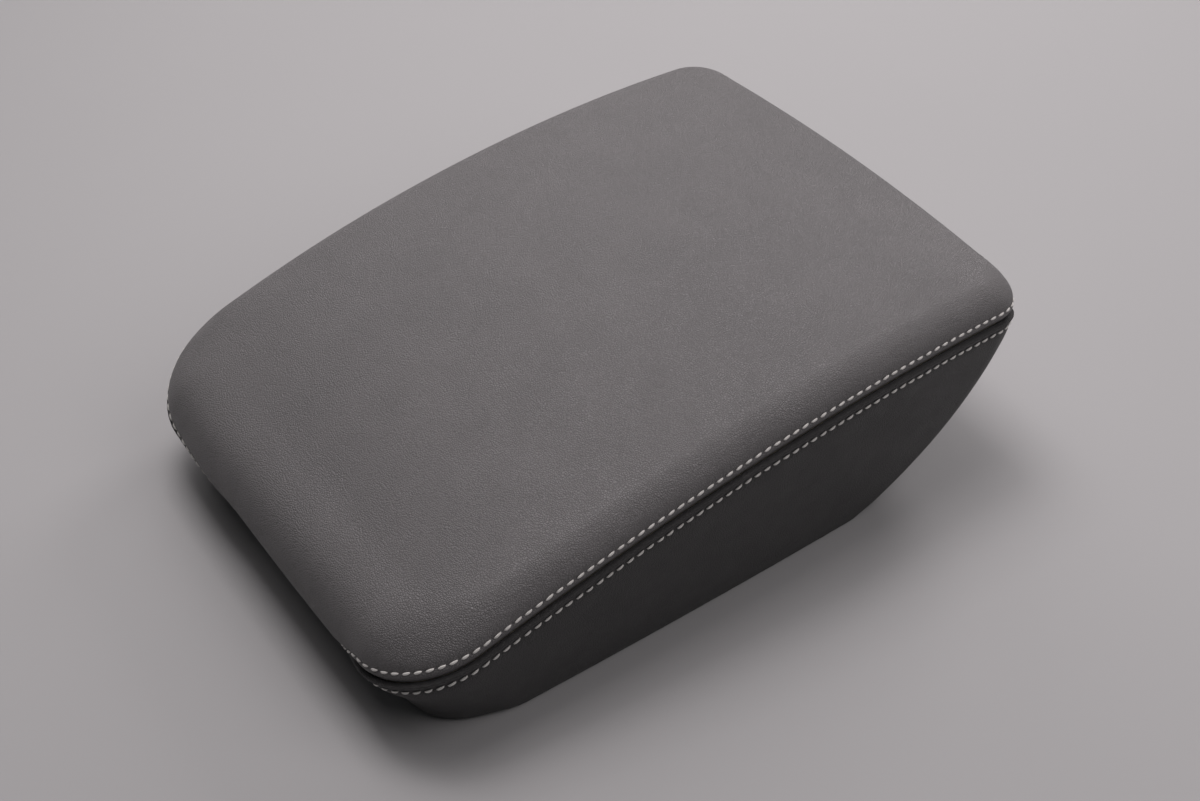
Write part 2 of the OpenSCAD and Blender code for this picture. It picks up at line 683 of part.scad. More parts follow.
// Rubber bumpers, pressed into the panel by a barbed stem
bumper_stem_r = 2.5;
bumper_x = [rim_front + bumper_inset_front, rim_rear - bumper_inset_rear];
bumper_xy = [for (x = bumper_x, side = [-1, 1])
             [x, side * (half_width(x) - bumper_inset_side)]];
module bumper(i) {
    p = bumper_xy[i];
    color([0.07, 0.07, 0.07]) translate([p[0], p[1], 0])
        rotate_extrude($fn = fine) polygon([
            [0, 0], [bumper_r * 0.8, 0], [bumper_r, 1.2], [bumper_r, lid_recess - run_gap],
            [bumper_stem_r, lid_recess - run_gap], [bumper_stem_r, panel_top + run_gap],
            [bumper_stem_r + 0.8, panel_top + run_gap], [bumper_stem_r * 0.6, panel_top + 3],
            [0, panel_top + 3]]);
}

// Latch housing: an open box over the window, with side flanges for its screws
housing_z = panel_top + slack;
housing_roof = latch_z + 9;
module latch_housing() {
    x0 = window_x0 - housing_wall;
    x1 = window_x1 + housing_wall;
    color([0.12, 0.12, 0.125]) difference() {
        union() {
            translate([x0, -housing_w / 2, housing_z])
                cube([x1 - x0, housing_w, housing_roof + housing_wall - housing_z]);
            translate([x0, -housing_w / 2 - flange_w, housing_z])
                cube([x1 - x0, housing_w + 2 * flange_w, flange_t]);
            for (side = [-1, 1], x = [(x0 + x1) / 2 - rib_t / 2])
                translate([x, side > 0 ? housing_w / 2 - 1 : -housing_w / 2 - flange_w + 3,
                           housing_z])
                    cube([rib_t, flange_w - 2, 7]);
        }
        translate([window_x0, -window_w / 2, housing_z - 1])
            cube([window_x1 - window_x0, window_w, housing_roof - housing_z + 1]);
        for (p = housing_xy)
            translate([p[0], p[1], housing_z - 1])
                cylinder(r = small_screw_r + run_gap, h = flange_t + 2, $fn = fine);
        translate([latch_x, housing_w, latch_z]) rotate([90, 0, 0])
            cylinder(r = latch_pin_r + 0.02, h = 2 * housing_w, $fn = fine);
    }
}

module latch_housing_screws() {
    color([0.35, 0.35, 0.36])
        for (p = housing_xy)
            translate([p[0], p[1], lid_recess - run_gap])
                screw(small_head_r, small_head_h, small_screw_r, small_screw_len);
}

module latch_pin() {
    color([0.6, 0.6, 0.62])
        translate([latch_x, housing_w / 2, latch_z]) rotate([90, 0, 0])
            cylinder(r = latch_pin_r, h = housing_w, $fn = fine);
}

// A profile drawn in X and Z, made solid across Y between y0 and y1
module across(y0, y1) {
    translate([0, y1, 0]) rotate([90, 0, 0]) linear_extrude(y1 - y0) children();
}

// Latch paddle: finger plate, hub on the pin and two hooks
hub_r = latch_pin_r + 2;
spring_room = spring_turns * spring_wire * 1.25 + 1.5;
hook_y = 12;
hook_w = 7;
hook_reach = 3;
module latch_paddle() {
    y = paddle_width / 2;
    color([0.09, 0.09, 0.095]) difference() {
        union() {
            translate([latch_x - paddle_len, -y, lid_recess])
                cube([paddle_len - 4, paddle_width, paddle_t]);
            translate([latch_x - paddle_len, -y, lid_recess])
                cube([2, paddle_width, paddle_t + 2]);
            for (side = [-1, 1]) {
                y0 = side > 0 ? spring_room / 2 : -y;
                across(y0, y0 + y - spring_room / 2) paddle_arm();
                across(side * hook_y - hook_w / 2, side * hook_y + hook_w / 2) paddle_hook();
            }
        }
        translate([latch_x, housing_w, latch_z]) rotate([90, 0, 0])
            cylinder(r = latch_pin_r + run_gap, h = 2 * housing_w, $fn = fine);
    }
}
module paddle_arm() {
    translate([latch_x, latch_z]) circle(r = hub_r, $fn = fine);
    polygon([[latch_x - hub_r * 0.8, latch_z], [latch_x - 9, lid_recess + paddle_t],
             [latch_x - 9, lid_recess], [latch_x - 4, lid_recess],
             [latch_x + hub_r * 0.5, latch_z - hub_r * 0.5], [latch_x, latch_z]]);
}
module paddle_hook() {
    polygon([[latch_x - 2, latch_z], [latch_x - 2, latch_z - hub_r - 1], [latch_x + 1, 1],
             [latch_x + 5 + hook_reach, 1], [latch_x + 5 + hook_reach, 2.6],
             [latch_x + 5, 4], [latch_x + 5, latch_z - hub_r], [latch_x + 2, latch_z]]);
}

// Latch spring: a torsion coil round the pin, one leg on the roof, one on the paddle
coil_r = latch_pin_r + 0.4 + spring_wire / 2;
module latch_spring() {
    w = spring_turns * spring_wire * 1.25;
    steps = spring_turns * 12;
    turn = 360 * (spring_turns - 1) + 160;
    coil = [for (i = [0:steps]) let (a = 90 + turn * i / steps)
        [latch_x + coil_r * cos(a), -w / 2 + w * i / steps, latch_z + coil_r * sin(a)]];
    top = housing_roof - 0.2 - spring_wire / 2;
    leg0 = [latch_x + 9, -w / 2, top];
    leg0_mid = [latch_x + 3, -w / 2, latch_z + coil_r + 0.3];
    low = lid_recess + paddle_t + 0.2 + spring_wire / 2;
    leg1 = [latch_x - 16, w / 2, low];
    color([0.55, 0.55, 0.57])
        wire_path(concat([leg0, leg0_mid], coil, [leg1]), spring_wire / 2, 6);
}

// Round wire along a path of points, as one closed faceted tube
module wire_path(path, r, sides) {
    n = len(path);
    dirs = [for (i = [0:n - 1]) unit(path[min(n - 1, i + 1)] - path[max(0, i - 1)])];
    points = [for (i = [0:n - 1])
        let (t = dirs[i], a = unit(cross(t, [0, 1, 0.001])), b = cross(t, a))
        for (k = [0:sides - 1])
            path[i] + r * (a * cos(360 * k / sides) + b * sin(360 * k / sides))];
    faces = concat(
        [[for (k = [0:sides - 1]) k]],
        [for (i = [0:n - 2], k = [0:sides - 1]) let (l = (k + 1) % sides)
            each [[i * sides + k, (i + 1) * sides + k, (i + 1) * sides + l],
                  [i * sides + k, (i + 1) * sides + l, i * sides + l]]],
        [[for (k = [sides - 1:-1:0]) (n - 1) * sides + k]]);
    polyhedron(points = points, faces = faces, convexity = 10);
}

// Hinge leaf on the lid: a plate with two ears bent down to the pin
module hinge_leaf() {
    color([0.45, 0.45, 0.46]) difference() {
        union() {
            translate([leaf_x0, -leaf_w / 2, leaf_z])
                cube([hinge_x + hinge_ear_r - leaf_x0, leaf_w, hinge_steel_t]);
            for (side = [-1, 1]) {
                y0 = side > 0 ? leaf_w / 2 - hinge_steel_t : -leaf_w / 2;
                across(y0, y0 + hinge_steel_t) {
                    translate([hinge_x, hinge_z]) circle(r = hinge_ear_r, $fn = fine);
                    translate([hinge_x - hinge_ear_r, hinge_z])
                        square([2 * hinge_ear_r, leaf_z + hinge_steel_t - hinge_z]);
                }
            }
        }
        pin_bore();
        for (p = leaf_screw_xy)
            translate([p[0], p[1], leaf_z - 1])
                cylinder(r = screw_r + run_gap, h = hinge_steel_t + 2, $fn = fine);
    }
}
module pin_bore() {
    translate([hinge_x, hinge_width, hinge_z]) rotate([90, 0, 0])
        cylinder(r = hinge_pin_r + run_gap, h = 2 * hinge_width, $fn = fine);
}

module hinge_leaf_screws() {
    color([0.35, 0.35, 0.36])
        for (p = leaf_screw_xy)
            translate([p[0], p[1], leaf_z - run_gap])
                screw(screw_head_r, screw_head_h, screw_r, screw_len - 4);
}

// Hinge base: the plate that the console carries, folded up into two ears
base_z = 0.2;
base_x0 = hinge_x - hinge_reach;
base_x1 = hinge_x - hinge_ear_r - 1.5;
mount_x = (base_x0 + base_x1) / 2 - 2;
module hinge_base() {
    color([0.45, 0.45, 0.46]) difference() {
        union() {
            translate([0, 0, base_z]) linear_extrude(hinge_steel_t) base_plan();
            for (side = [-1, 1]) {
                y0 = side > 0 ? hinge_width / 2 - hinge_steel_t : -hinge_width / 2;
                across(y0, y0 + hinge_steel_t) base_ear();
            }
        }
        pin_bore();
        for (x = [mount_x - mount_pitch_x / 2, mount_x + mount_pitch_x / 2], side = [-1, 1])
            translate([x, side * mount_pitch_y / 2, base_z - 1])
                cylinder(r = mount_hole_r, h = hinge_steel_t + 2, $fn = fine);
    }
}
module base_plan() {
    r = 5;
    w = hinge_width / 2;
    translate([base_x0 + r, -w]) square([base_x1 - base_x0 - r, 2 * w]);
    translate([base_x0, -w + r]) square([r + 1, 2 * (w - r)]);
    for (side = [-1, 1])
        translate([base_x0 + r, side * (w - r)]) circle(r = r, $fn = fine);
}
module base_ear() {
    top = hinge_z + hinge_ear_r;
    translate([hinge_x, hinge_z]) circle(r = hinge_ear_r, $fn = fine);
    polygon([[base_x0 + 12, base_z], [base_x1, base_z], [hinge_x, hinge_z - hinge_ear_r],
             [hinge_x, top], [hinge_x - 10, top], [base_x0 + 12, base_z + hinge_steel_t]]);
}

// Hinge pin: a head at one end, a groove for the clip at the other
pin_head_t = 1.2;
clip_t = 0.8;
groove_r = hinge_pin_r - 0.6;
module hinge_pin() {
    y = hinge_width / 2 + washer_gap;
    color([0.62, 0.62, 0.64])
        translate([hinge_x, 0, hinge_z]) rotate([-90, 0, 0]) rotate_extrude($fn = fine)
            polygon([[0, -y - pin_head_t], [hinge_pin_r + 1.5, -y - pin_head_t],
                     [hinge_pin_r + 1.5, -y], [hinge_pin_r, -y], [hinge_pin_r, y + 0.05],
                     [groove_r, y + 0.05], [groove_r, y + clip_t + 0.25],
                     [hinge_pin_r, y + clip_t + 0.25], [hinge_pin_r, y + clip_t + 0.75],
                     [0, y + clip_t + 0.75]]);
}
module hinge_pin_clip() {
    y = hinge_width / 2 + washer_gap;
    color([0.5, 0.5, 0.52])
        translate([hinge_x, y + 0.15 + clip_t, hinge_z]) rotate([90, 0, 0])
            linear_extrude(clip_t) difference() {
                circle(r = hinge_pin_r + 1.5, $fn = fine);
                circle(r = groove_r + run_gap, $fn = fine);
                translate([0, -groove_r * 0.8]) square([hinge_pin_r * 3, groove_r * 1.6]);
            }
}
module friction_washer(side) {
    y0 = side > 0 ? leaf_w / 2 + washer_gap : -leaf_w / 2 - washer_gap - washer_t;
    color([0.75, 0.7, 0.5])
        across(y0, y0 + washer_t) translate([hinge_x, hinge_z]) difference() {
            circle(r = hinge_ear_r - 0.5, $fn = fine);
            circle(r = hinge_pin_r + run_gap, $fn = fine);
        }
}

// Topstitching: one short cylinder of thread for each stitch that shows
row_us = [for (i = [0:150]) lerp(seam_end_front + 0.08, seam_end_rear - 0.1, i / 150)];
function row_point(u, way) =
    let (s = seam_s(u) + way * stitch_offset * seam_k(u))
    skin(u, s) + (thread_d / 2 + 0.2) * outward(u, s);
function run_length(path, i = 1, sum = 0, out = [0]) =
    i >= len(path) ? out
    : let (t = sum + norm(path[i] - path[i - 1])) run_length(path, i + 1, t, concat(out, [t]));
module topstitch(side, way) {
    path = [for (u = row_us) row_point(u, way)];
    runs = run_length(path);
    color([0.80, 0.79, 0.77])
        for (i = [1:len(path) - 1])
            for (k = [ceil(runs[i - 1] / stitch_pitch):ceil(runs[i] / stitch_pitch) - 1])
                let (q = (k * stitch_pitch - runs[i - 1]) / (runs[i] - runs[i - 1]),
                     p = lerp(path[i - 1], path[i], q),
                     d = unit(path[i] - path[i - 1]))
                if (p[2] > 2 * thread_d)
                    translate(flip(p, side))
                        rotate([0, acos(d[2]), atan2(d[1] * side, d[0])])
                            cylinder(d = thread_d, h = stitch_len, center = true, $fn = 16);
}

top_cover();
mirror([0, 1, 0]) side_cover();  // side_cover_left
side_cover();  // side_cover_right
topstitch(-1, 1);  // topstitch_upper_left
topstitch(-1, -1);  // topstitch_lower_left
topstitch(1, 1);  // topstitch_upper_right
topstitch(1, -1);  // topstitch_lower_right
foam_pad();
lid_core();
inner_lid();
lid_screws();
bumper(0);  // bumper_front_left
bumper(1);  // bumper_front_right
bumper(2);  // bumper_rear_left
bumper(3);  // bumper_rear_right
latch_housing();
latch_housing_screws();
latch_paddle();
latch_pin();
latch_spring();
hinge_leaf();
hinge_leaf_screws();
hinge_base();
hinge_pin();
friction_washer(-1);  // friction_washer_left
friction_washer(1);  // friction_washer_right
hinge_pin_clip();
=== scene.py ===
import json
import math

import bpy
import numpy as np
from mathutils import Matrix, Vector


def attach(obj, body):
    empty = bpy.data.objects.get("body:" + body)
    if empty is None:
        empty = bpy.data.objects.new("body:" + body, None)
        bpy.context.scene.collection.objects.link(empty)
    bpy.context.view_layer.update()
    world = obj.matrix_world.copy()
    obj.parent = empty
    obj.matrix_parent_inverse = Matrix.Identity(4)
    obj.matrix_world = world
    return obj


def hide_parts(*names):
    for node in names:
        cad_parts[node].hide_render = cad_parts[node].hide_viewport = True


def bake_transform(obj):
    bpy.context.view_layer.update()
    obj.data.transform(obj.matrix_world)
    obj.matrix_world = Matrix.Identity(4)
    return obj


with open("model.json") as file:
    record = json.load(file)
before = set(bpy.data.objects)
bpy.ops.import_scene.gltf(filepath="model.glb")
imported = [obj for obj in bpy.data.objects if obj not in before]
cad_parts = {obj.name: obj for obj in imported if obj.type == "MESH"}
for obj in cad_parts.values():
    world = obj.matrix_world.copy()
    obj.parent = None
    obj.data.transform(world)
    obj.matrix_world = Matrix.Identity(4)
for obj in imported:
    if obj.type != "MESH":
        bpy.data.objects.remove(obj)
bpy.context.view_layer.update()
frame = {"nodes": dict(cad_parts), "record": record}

MM = 0.001

# Outline, heights and sections, in millimetres, as the CAD source has them
ARMREST_LEN = 310.0
FRONT_WIDTH = 220.0
REAR_WIDTH = 220.0
SIDE_BOW = 2.5
FRONT_BOW = 2.0
REAR_BOW = 7.0
FRONT_CORNER_R = 33.5
REAR_CORNER_R = 19.0
BELT_FRONT = 32.0
BELT_MID = 69.0
BELT_REAR = 74.5
ROLL_HEIGHT = 21.0
CROWN_HEIGHT = 6.0
ROLL_SIDE = 14.0
ROLL_FRONT = 24.0
ROLL_REAR = 9.5
SIDE_TAPER = 5.0
FRONT_UNDERCUT = 23.0
REAR_SWEEP = 69.0
HALF_LEN = ARMREST_LEN / 2
ROLL_END = 85.0
ROLL_ARC = (ROLL_SIDE + ROLL_HEIGHT) / 2
ROLL_S = ROLL_ARC * math.radians(ROLL_END)
CROWN_S = 100.0
BELT_BLEND = 0.15
SWEEP_STRAIGHT = 0.53
SWEEP_POWER = 3.5

# The crown's padding: how far inside the outline it ends, and the share of the way to the
# middle at which it starts and over which it comes in
PAD_INSET = 12.0
PAD_START, PAD_REACH = 0.08, 0.4

# Covers, seam and thread
COVER_T = 1.4
SEAM_RISE = 4.5
SEAM_FOOT = 3.0
SEAM_EDGE = 0.12
SEAM_STRETCH_MAX = 1.8
DROP_REAR = 5.0
SEAM_END_REAR = 4.35
STITCH_OFFSET = 3.8
STITCH_PITCH = 4.65
STITCH_SHOWS = 3.1
THREAD_R = 0.42
PUCKER_SEED = 11

# The hem: how far it turns in, over what height, and its width under the rim
HEM_TURN = 1.3
HEM_HEIGHT = 3.2
HEM_WIDTH = 7.0

# How far the lower edge stands out at the front, how that grows down the face, the place
# round the armrest where it ends and the length over which it fades
FLARE = 6.3
FLARE_POWER = 2.2
FLARE_END, FLARE_FADE = 1.78, 0.52

# The photograph shows the far seam run on farther along the front lip than the near one,
# as hand-stretched covers do: fall at the corner, place of the end, power of the fall
# on the lip, slope with which the fall begins there
NEAR_FRONT = (4.9, 0.60, 2.0, 14.3)
FAR_FRONT = (7.2, 0.25, 4.0, 10.0)


def lerp(a, b, k):
    return a + (b - a) * k


def smooth(k):
    c = np.clip(k, 0, 1)
    return c * c * (3 - 2 * c)


def half_width(x):
    return lerp(FRONT_WIDTH, REAR_WIDTH, x / ARMREST_LEN + 0.5) / 2 + SIDE_BOW * (
        1 - (x / HALF_LEN) ** 2)


def belt_z(x):
    q = x / HALF_LEN
    rise = (BELT_REAR - BELT_FRONT) / 2
    sag = (BELT_REAR + BELT_FRONT) / 2 - BELT_MID
    return BELT_MID + rise * q + sag * q * q


def outline(u, in_front, in_rear, in_side, r_front, r_rear):
    """Half outline in plan. Place u is 0 to 1 on the front edge, to 2 round its corner, to
    3 on the side, to 4 round the rear corner and to 5 on the rear edge."""
    x_f = -HALF_LEN + in_front
    x_r = HALF_LEN - in_rear
    w_f = half_width(x_f) - in_side
    w_r = half_width(x_r) - in_side
    x1 = x_f + FRONT_BOW * ((w_f - r_front) / w_f) ** 2 + r_front
    x2 = x_r - REAR_BOW * ((w_r - r_rear) / w_r) ** 2 - r_rear
    y1 = half_width(x1) - in_side - r_front
    y2 = half_width(x2) - in_side - r_rear
    a = np.radians(np.clip(u - 1, 0, 1) * 90)
    b = np.radians(np.clip(u - 3, 0, 1) * 90)
    xs = lerp(x1, x2, np.clip(u - 2, 0, 1))
    parts = [
        (x_f + FRONT_BOW * (y1 * u / w_f) ** 2, y1 * u),
        (x1 - r_front * np.cos(a), y1 + r_front * np.sin(a)),
        (xs, half_width(xs) - in_side),
        (x2 + r_rear * np.sin(b), y2 + r_rear * np.cos(b)),
        (x_r - REAR_BOW * (y2 * (5 - u) / w_r) ** 2, y2 * (5 - u)),
    ]
    tests = [u <= 1, u <= 2, u <= 3, u <= 4]
    x = np.select(tests, [p[0] for p in parts[:4]], parts[4][0])
    y = np.select(tests, [p[1] for p in parts[:4]], parts[4][1])
    return x, y


def inward(u):
    """Direction into the outline in plan."""
    a = np.radians(np.clip(u - 1, 0, 1) * 90)
    b = np.radians(np.clip(u - 3, 0, 1) * 90)
    return (np.where(u <= 2.5, np.cos(a), -np.sin(b)),
            np.where(u <= 2.5, -np.sin(a), -np.cos(b)))


def face_len(u):
    """Length of the face between belt and rim, down the slope."""
    x, _ = outline(u, 0.0, 0.0, 0.0, FRONT_CORNER_R, REAR_CORNER_R)
    nx, ny = inward(u)
    lean = np.where(nx > 0, nx * FRONT_UNDERCUT, -nx * REAR_SWEEP)
    return np.hypot(belt_z(x), lean - ny * SIDE_TAPER)


def belt_turn(c):
    """Share of the lean reached at share c of the way down: upright at first, then even."""
    b = BELT_BLEND
    return (np.sqrt(c * c + b * b) - b) / (math.sqrt(1 + b * b) - b)


def sweep(c):
    """Share of the rear face's sweep at share c of the way down."""
    return SWEEP_STRAIGHT * belt_turn(c) + (1 - SWEEP_STRAIGHT) * c ** SWEEP_POWER


def roll_point(u, a):
    """Point on the rolled edge, at angle a above the belt."""
    k = 1 - np.cos(a)
    x, y = outline(u, ROLL_FRONT * k, ROLL_REAR * k, ROLL_SIDE * k,
                   FRONT_CORNER_R - 0.5 * ROLL_SIDE * k,
                   REAR_CORNER_R - 0.3 * ROLL_SIDE * k)
    return x, y, belt_z(x) + ROLL_HEIGHT * np.sin(a)


def skin(u, s):
    """Outer surface. s is the distance from the belt, up over the roll and crown when
    positive, down the face when negative, and in along the hem past the rim."""
    u, s = np.broadcast_arrays(np.asarray(u, float), np.asarray(s, float))
    h = face_len(u)
    t = np.clip(1 + s / h, 0, 1)
    c = 1 - t
    fx, fy = outline(u, FRONT_UNDERCUT * belt_turn(c), REAR_SWEEP * sweep(c),
                     SIDE_TAPER * c ** 1.5, FRONT_CORNER_R, REAR_CORNER_R)
    fz = t * belt_z(fx)
    nx, ny = inward(u)
    past = np.maximum(0, -h - s)
    fx, fy = fx + nx * past, fy + ny * past
    rx, ry, rz = roll_point(u, np.clip(s, 0, ROLL_S) / ROLL_ARC)
    q = np.clip((s - ROLL_S) / CROWN_S, 0, 1)
    cx, cy = rx * (1 - q), ry * (1 - q)
    dome = 1 - (1 - q) ** 2
    pad = (1 - (cx / (HALF_LEN - PAD_INSET)) ** 2) * (
        1 - (cy / (FRONT_WIDTH / 2 - PAD_INSET)) ** 2)
    dome = lerp(dome, pad, smooth((q - PAD_START) / PAD_REACH))
    cz = belt_z(cx) + ROLL_HEIGHT * math.sin(math.radians(ROLL_END)) + CROWN_HEIGHT * dome
    on_face, on_roll = s <= 0, s <= ROLL_S
    x = np.where(on_face, fx, np.where(on_roll, rx, cx))
    y = np.where(on_face, fy, np.where(on_roll, ry, cy))
    z = np.where(on_face, fz, np.where(on_roll, rz, cz))
    return np.stack([x, y, z], -1)


def outward(u, s):
    """Outward direction of the skin, from small steps both ways."""
    du, ds = 0.01, 0.4
    a = skin(np.minimum(5, u + du), s) - skin(np.maximum(0, u - du), s)
    b = skin(u, s + ds) - skin(u, s - ds)
    n = np.cross(b, a)
    length = np.linalg.norm(n, axis=-1, keepdims=True)
    n = n / np.maximum(length, 1e-9)
    ends = (u <= 0) | (u >= 5)
    n[..., 1] = np.where(ends, 0, n[..., 1])
    n /= np.maximum(np.linalg.norm(n, axis=-1, keepdims=True), 1e-9)
    return np.where(length < 1e-6, np.array([0.0, 0.0, 1.0]), n)


def by_side(side, k):
    """Value k of the front seam's shape, for the far side where side is positive."""
    return np.where(np.asarray(side) > 0, FAR_FRONT[k], NEAR_FRONT[k])


def seam_s(u, side):
    """Where the seam lies on the skin, from front rim over the side to the rear rim."""
    foot = SEAM_FOOT - face_len(u)
    drop, end, power, slope = (by_side(side, k) for k in range(4))
    qf = np.clip((1 - u) / (1 - end), 0, 1)
    qr = np.clip((u - 4) / (SEAM_END_REAR - 4), 0, 1)
    ease = slope * np.clip(1 - u, 0, 1) * (1 - qf)
    return np.select(
        [u < 1, u < 2, u <= 3, u <= 4],
        [lerp(SEAM_RISE - drop, foot, qf ** power) - ease,
         SEAM_RISE - drop * np.clip(2 - u, 0, 1) ** 2,
         SEAM_RISE + 0 * u,
         SEAM_RISE - DROP_REAR * np.clip(u - 3, 0, 1) ** 2],
        lerp(SEAM_RISE - DROP_REAR, foot, qr ** 1.2))


def seam_k(u, side):
    """Stretch of a distance taken square to the seam, where the seam runs at a slope."""
    d = 0.01
    s = seam_s(u, side)
    run = np.linalg.norm(skin(u + d, s) - skin(u - d, s), axis=-1)
    fall = seam_s(u + d, side) - seam_s(u - d, side)
    return np.minimum(SEAM_STRETCH_MAX, np.sqrt(1 + (fall / np.maximum(run, 1e-6)) ** 2))


def seam_table(side):
    """Places along one side's seam, and the distance along the seam at each."""
    u = np.linspace(float(by_side(side, 1)) + 0.01, SEAM_END_REAR - 0.01, 3000)
    path = skin(u, seam_s(u, side))
    step = np.linalg.norm(np.diff(path, axis=0), axis=1)
    return u, np.concatenate([[0], np.cumsum(step)])


SEAMS = {1: seam_table(1), -1: seam_table(-1)}


def u_at(run, side):
    """Place at a distance along one side's seam."""
    return np.interp(run, SEAMS[side][1], SEAMS[side][0])


def run_at(u, side):
    """Distance along the seam at a place."""
    far, near = (np.interp(u, SEAMS[k][0], SEAMS[k][1]) for k in (1, -1))
    return np.where(np.asarray(side) > 0, far, near)


# Cross-section of the sewn seam: distances from the seam, heights over the plain skin and
# the slope at the seam. The upper cover rolls down into the seam, and the side cover stands
# up as a narrow ridge.
UPPER_D = [0.0, 0.4, 1.1, 2.0, 2.9, 3.4, 3.8, 4.3, 5.4, 7.5, 11.0, 17.0]
UPPER_H = [-1.9, -1.45, -0.80, -0.18, 0.14, 0.04, -0.12, 0.00, 0.26, 0.38, 0.20, 0.0]
UPPER_SLOPE = 1.5
LOWER_D = [0.0, 0.3, 0.75, 1.2, 1.7, 2.3, 3.0, 3.8, 4.6, 6.0, 9.0, 17.0]
LOWER_H = [-1.6, -0.45, 0.66, 0.92, 0.56, -0.04, -0.20, -0.12, 0.04, 0.20, 0.22, 0.0]
LOWER_SLOPE = 3.5
# Each stitch draws the leather down at its ends and a little over the ridge: depth, and
# distance from the seam and reach
HOLE_DEPTH, HOLE_REACH = 0.24, 0.9
DRAW_DEPTH, DRAW_AT, DRAW_REACH = 0.06, 1.8, 1.0
# Slow and quick wander of the sewn zone: height, step along it, distance and reach
SLOW_WANDER = (0.16, 14, 5.5, 4.0)
QUICK_WANDER = (0.07, 6, 1.8, 1.2)
# The full front lip: height, place where it has faded, fade, distance above the belt, reach
FRONT_FULL = (2.6, 1.5, 0.5, 14, 8)
# Other stuffing that the photograph's outline and shading show: side, height, then centre
# and reach in u and in s
FULLNESS = [
    (-1, 1.3, 3.5, 0.45, 9, 8),     # near rear corner, fuller
    (1, 1.4, 0.75, 0.3, -2, 10),    # far end of the lip, fuller
    (1, -1.4, 1.8, 0.3, 16, 8),     # far front corner, shallower
    (-1, -0.8, 0.84, 0.12, -1, 8),  # where the near seam goes under the lip, drawn in
]


def hump(x, centre, reach):
    """A smooth hump of height 1."""
    return np.exp(-((x - centre) / reach) ** 2)


def profile(d, xs, ys, first):
    """Smooth curve through the points of a cross-section, with its slope at the seam."""
    xs, ys = np.array(xs), np.array(ys)
    slope = np.gradient(ys, xs)
    slope[0], slope[-1] = first, 0.0
    d = np.clip(d, 0, xs[-1])
    i = np.clip(np.searchsorted(xs, d, side="right") - 1, 0, len(xs) - 2)
    w = xs[i + 1] - xs[i]
    t = (d - xs[i]) / w
    return ((2 * t ** 3 - 3 * t ** 2 + 1) * ys[i] + (t ** 3 - 2 * t ** 2 + t) * w * slope[i]
            + (3 * t ** 2 - 2 * t ** 3) * ys[i + 1] + (t ** 3 - t ** 2) * w * slope[i + 1])


def wander(x, seed, step):
    """Smooth seeded noise along a length."""
    rng = np.random.default_rng(seed)
    table = rng.uniform(-1, 1, 512)
    i = np.floor(x / step).astype(int)
    t = x / step - i
    t = t * t * (3 - 2 * t)
    return table[i % 512] * (1 - t) + table[(i + 1) % 512] * t


def sewn_lift(u, s, side):
    """Height of the leather over the plain skin: seam, puckers, stuffing and hem."""
    away = (s - seam_s(u, side)) / seam_k(u, side)
    d = np.abs(away)
    run = run_at(u, side)
    above = s + face_len(u)
    fade = smooth((u - by_side(side, 1)) / 0.03) * smooth((SEAM_END_REAR - u) / 0.03)
    fade = fade * smooth((above - 1) / 6)
    lift = np.where(away > 0, profile(d, UPPER_D, UPPER_H, UPPER_SLOPE),
                    profile(d, LOWER_D, LOWER_H, LOWER_SLOPE))
    beat = np.cos(2 * np.pi * run / STITCH_PITCH)
    hole = (0.5 + beat * 0.5) ** 2
    lift = lift - HOLE_DEPTH * hole * hump(d, STITCH_OFFSET, HOLE_REACH)
    lift = lift - DRAW_DEPTH * beat * hump(d, DRAW_AT, DRAW_REACH)
    height, step, at, reach = SLOW_WANDER
    lift = lift + height * wander(run + 37 * side, PUCKER_SEED, step) * hump(d, at, reach)
    height, step, at, reach = QUICK_WANDER
    lift = lift + height * wander(run, PUCKER_SEED + 1, step) * hump(d, at, reach)
    return lift * fade + fullness(u, s, side) - hem_round(above)


def hem_round(above):
    """How far the leather turns in at its lower edge, from the height above the edge."""
    return HEM_TURN * (1 - np.clip(above / HEM_HEIGHT, 0, 1)) ** 2


def fullness(u, s, side):
    """Extra stuffing under the leather."""
    height, end, fade, at, reach = FRONT_FULL
    lift = height * smooth((end - u) / fade) * hump(s, at, reach)
    for hand, height, u0, du, s0, ds in FULLNESS:
        there = np.asarray(side) == hand
        lift = lift + height * there * hump(u, u0, du) * hump(s, s0, ds)
    return lift


def flared_skin(u, s):
    """The skin, with its lower edge out at the front corners as in the photograph."""
    u, s = np.broadcast_arrays(u, s)
    h = face_len(u)
    low = np.clip(-s / h, 0, 1) ** FLARE_POWER * (1 - smooth((-h - s) / HEM_WIDTH))
    out = FLARE * smooth((FLARE_END - u) / FLARE_FADE) * low
    nx, ny = inward(u)
    p = skin(u, s)
    p[..., 0] -= nx * out
    p[..., 1] -= ny * out
    return p


def cover_points(u, s, side):
    """The leather's outer face."""
    p = flared_skin(u, s) + sewn_lift(u, s, side)[..., None] * outward(u, s)
    p[..., 1] *= side
    return p


def lining_points(u, s, side):
    """The leather's inner face, which stays clear of the ground."""
    p = skin(u, s) - COVER_T * outward(u, s)
    p[..., 2] = np.maximum(p[..., 2], COVER_T)
    p[..., 1] *= side
    return p


def add_object(name, data):
    obj = bpy.data.objects.new(name, data)
    bpy.context.scene.collection.objects.link(obj)
    return obj


def mesh_object(name, verts, faces):
    """A smooth shaded object from its points and faces."""
    mesh = bpy.data.meshes.new(name)
    mesh.from_pydata([tuple(v) for v in verts], [], faces)
    mesh.validate()
    mesh.update()
    mesh.polygons.foreach_set("use_smooth", [True] * len(mesh.polygons))
    return add_object(name, mesh)


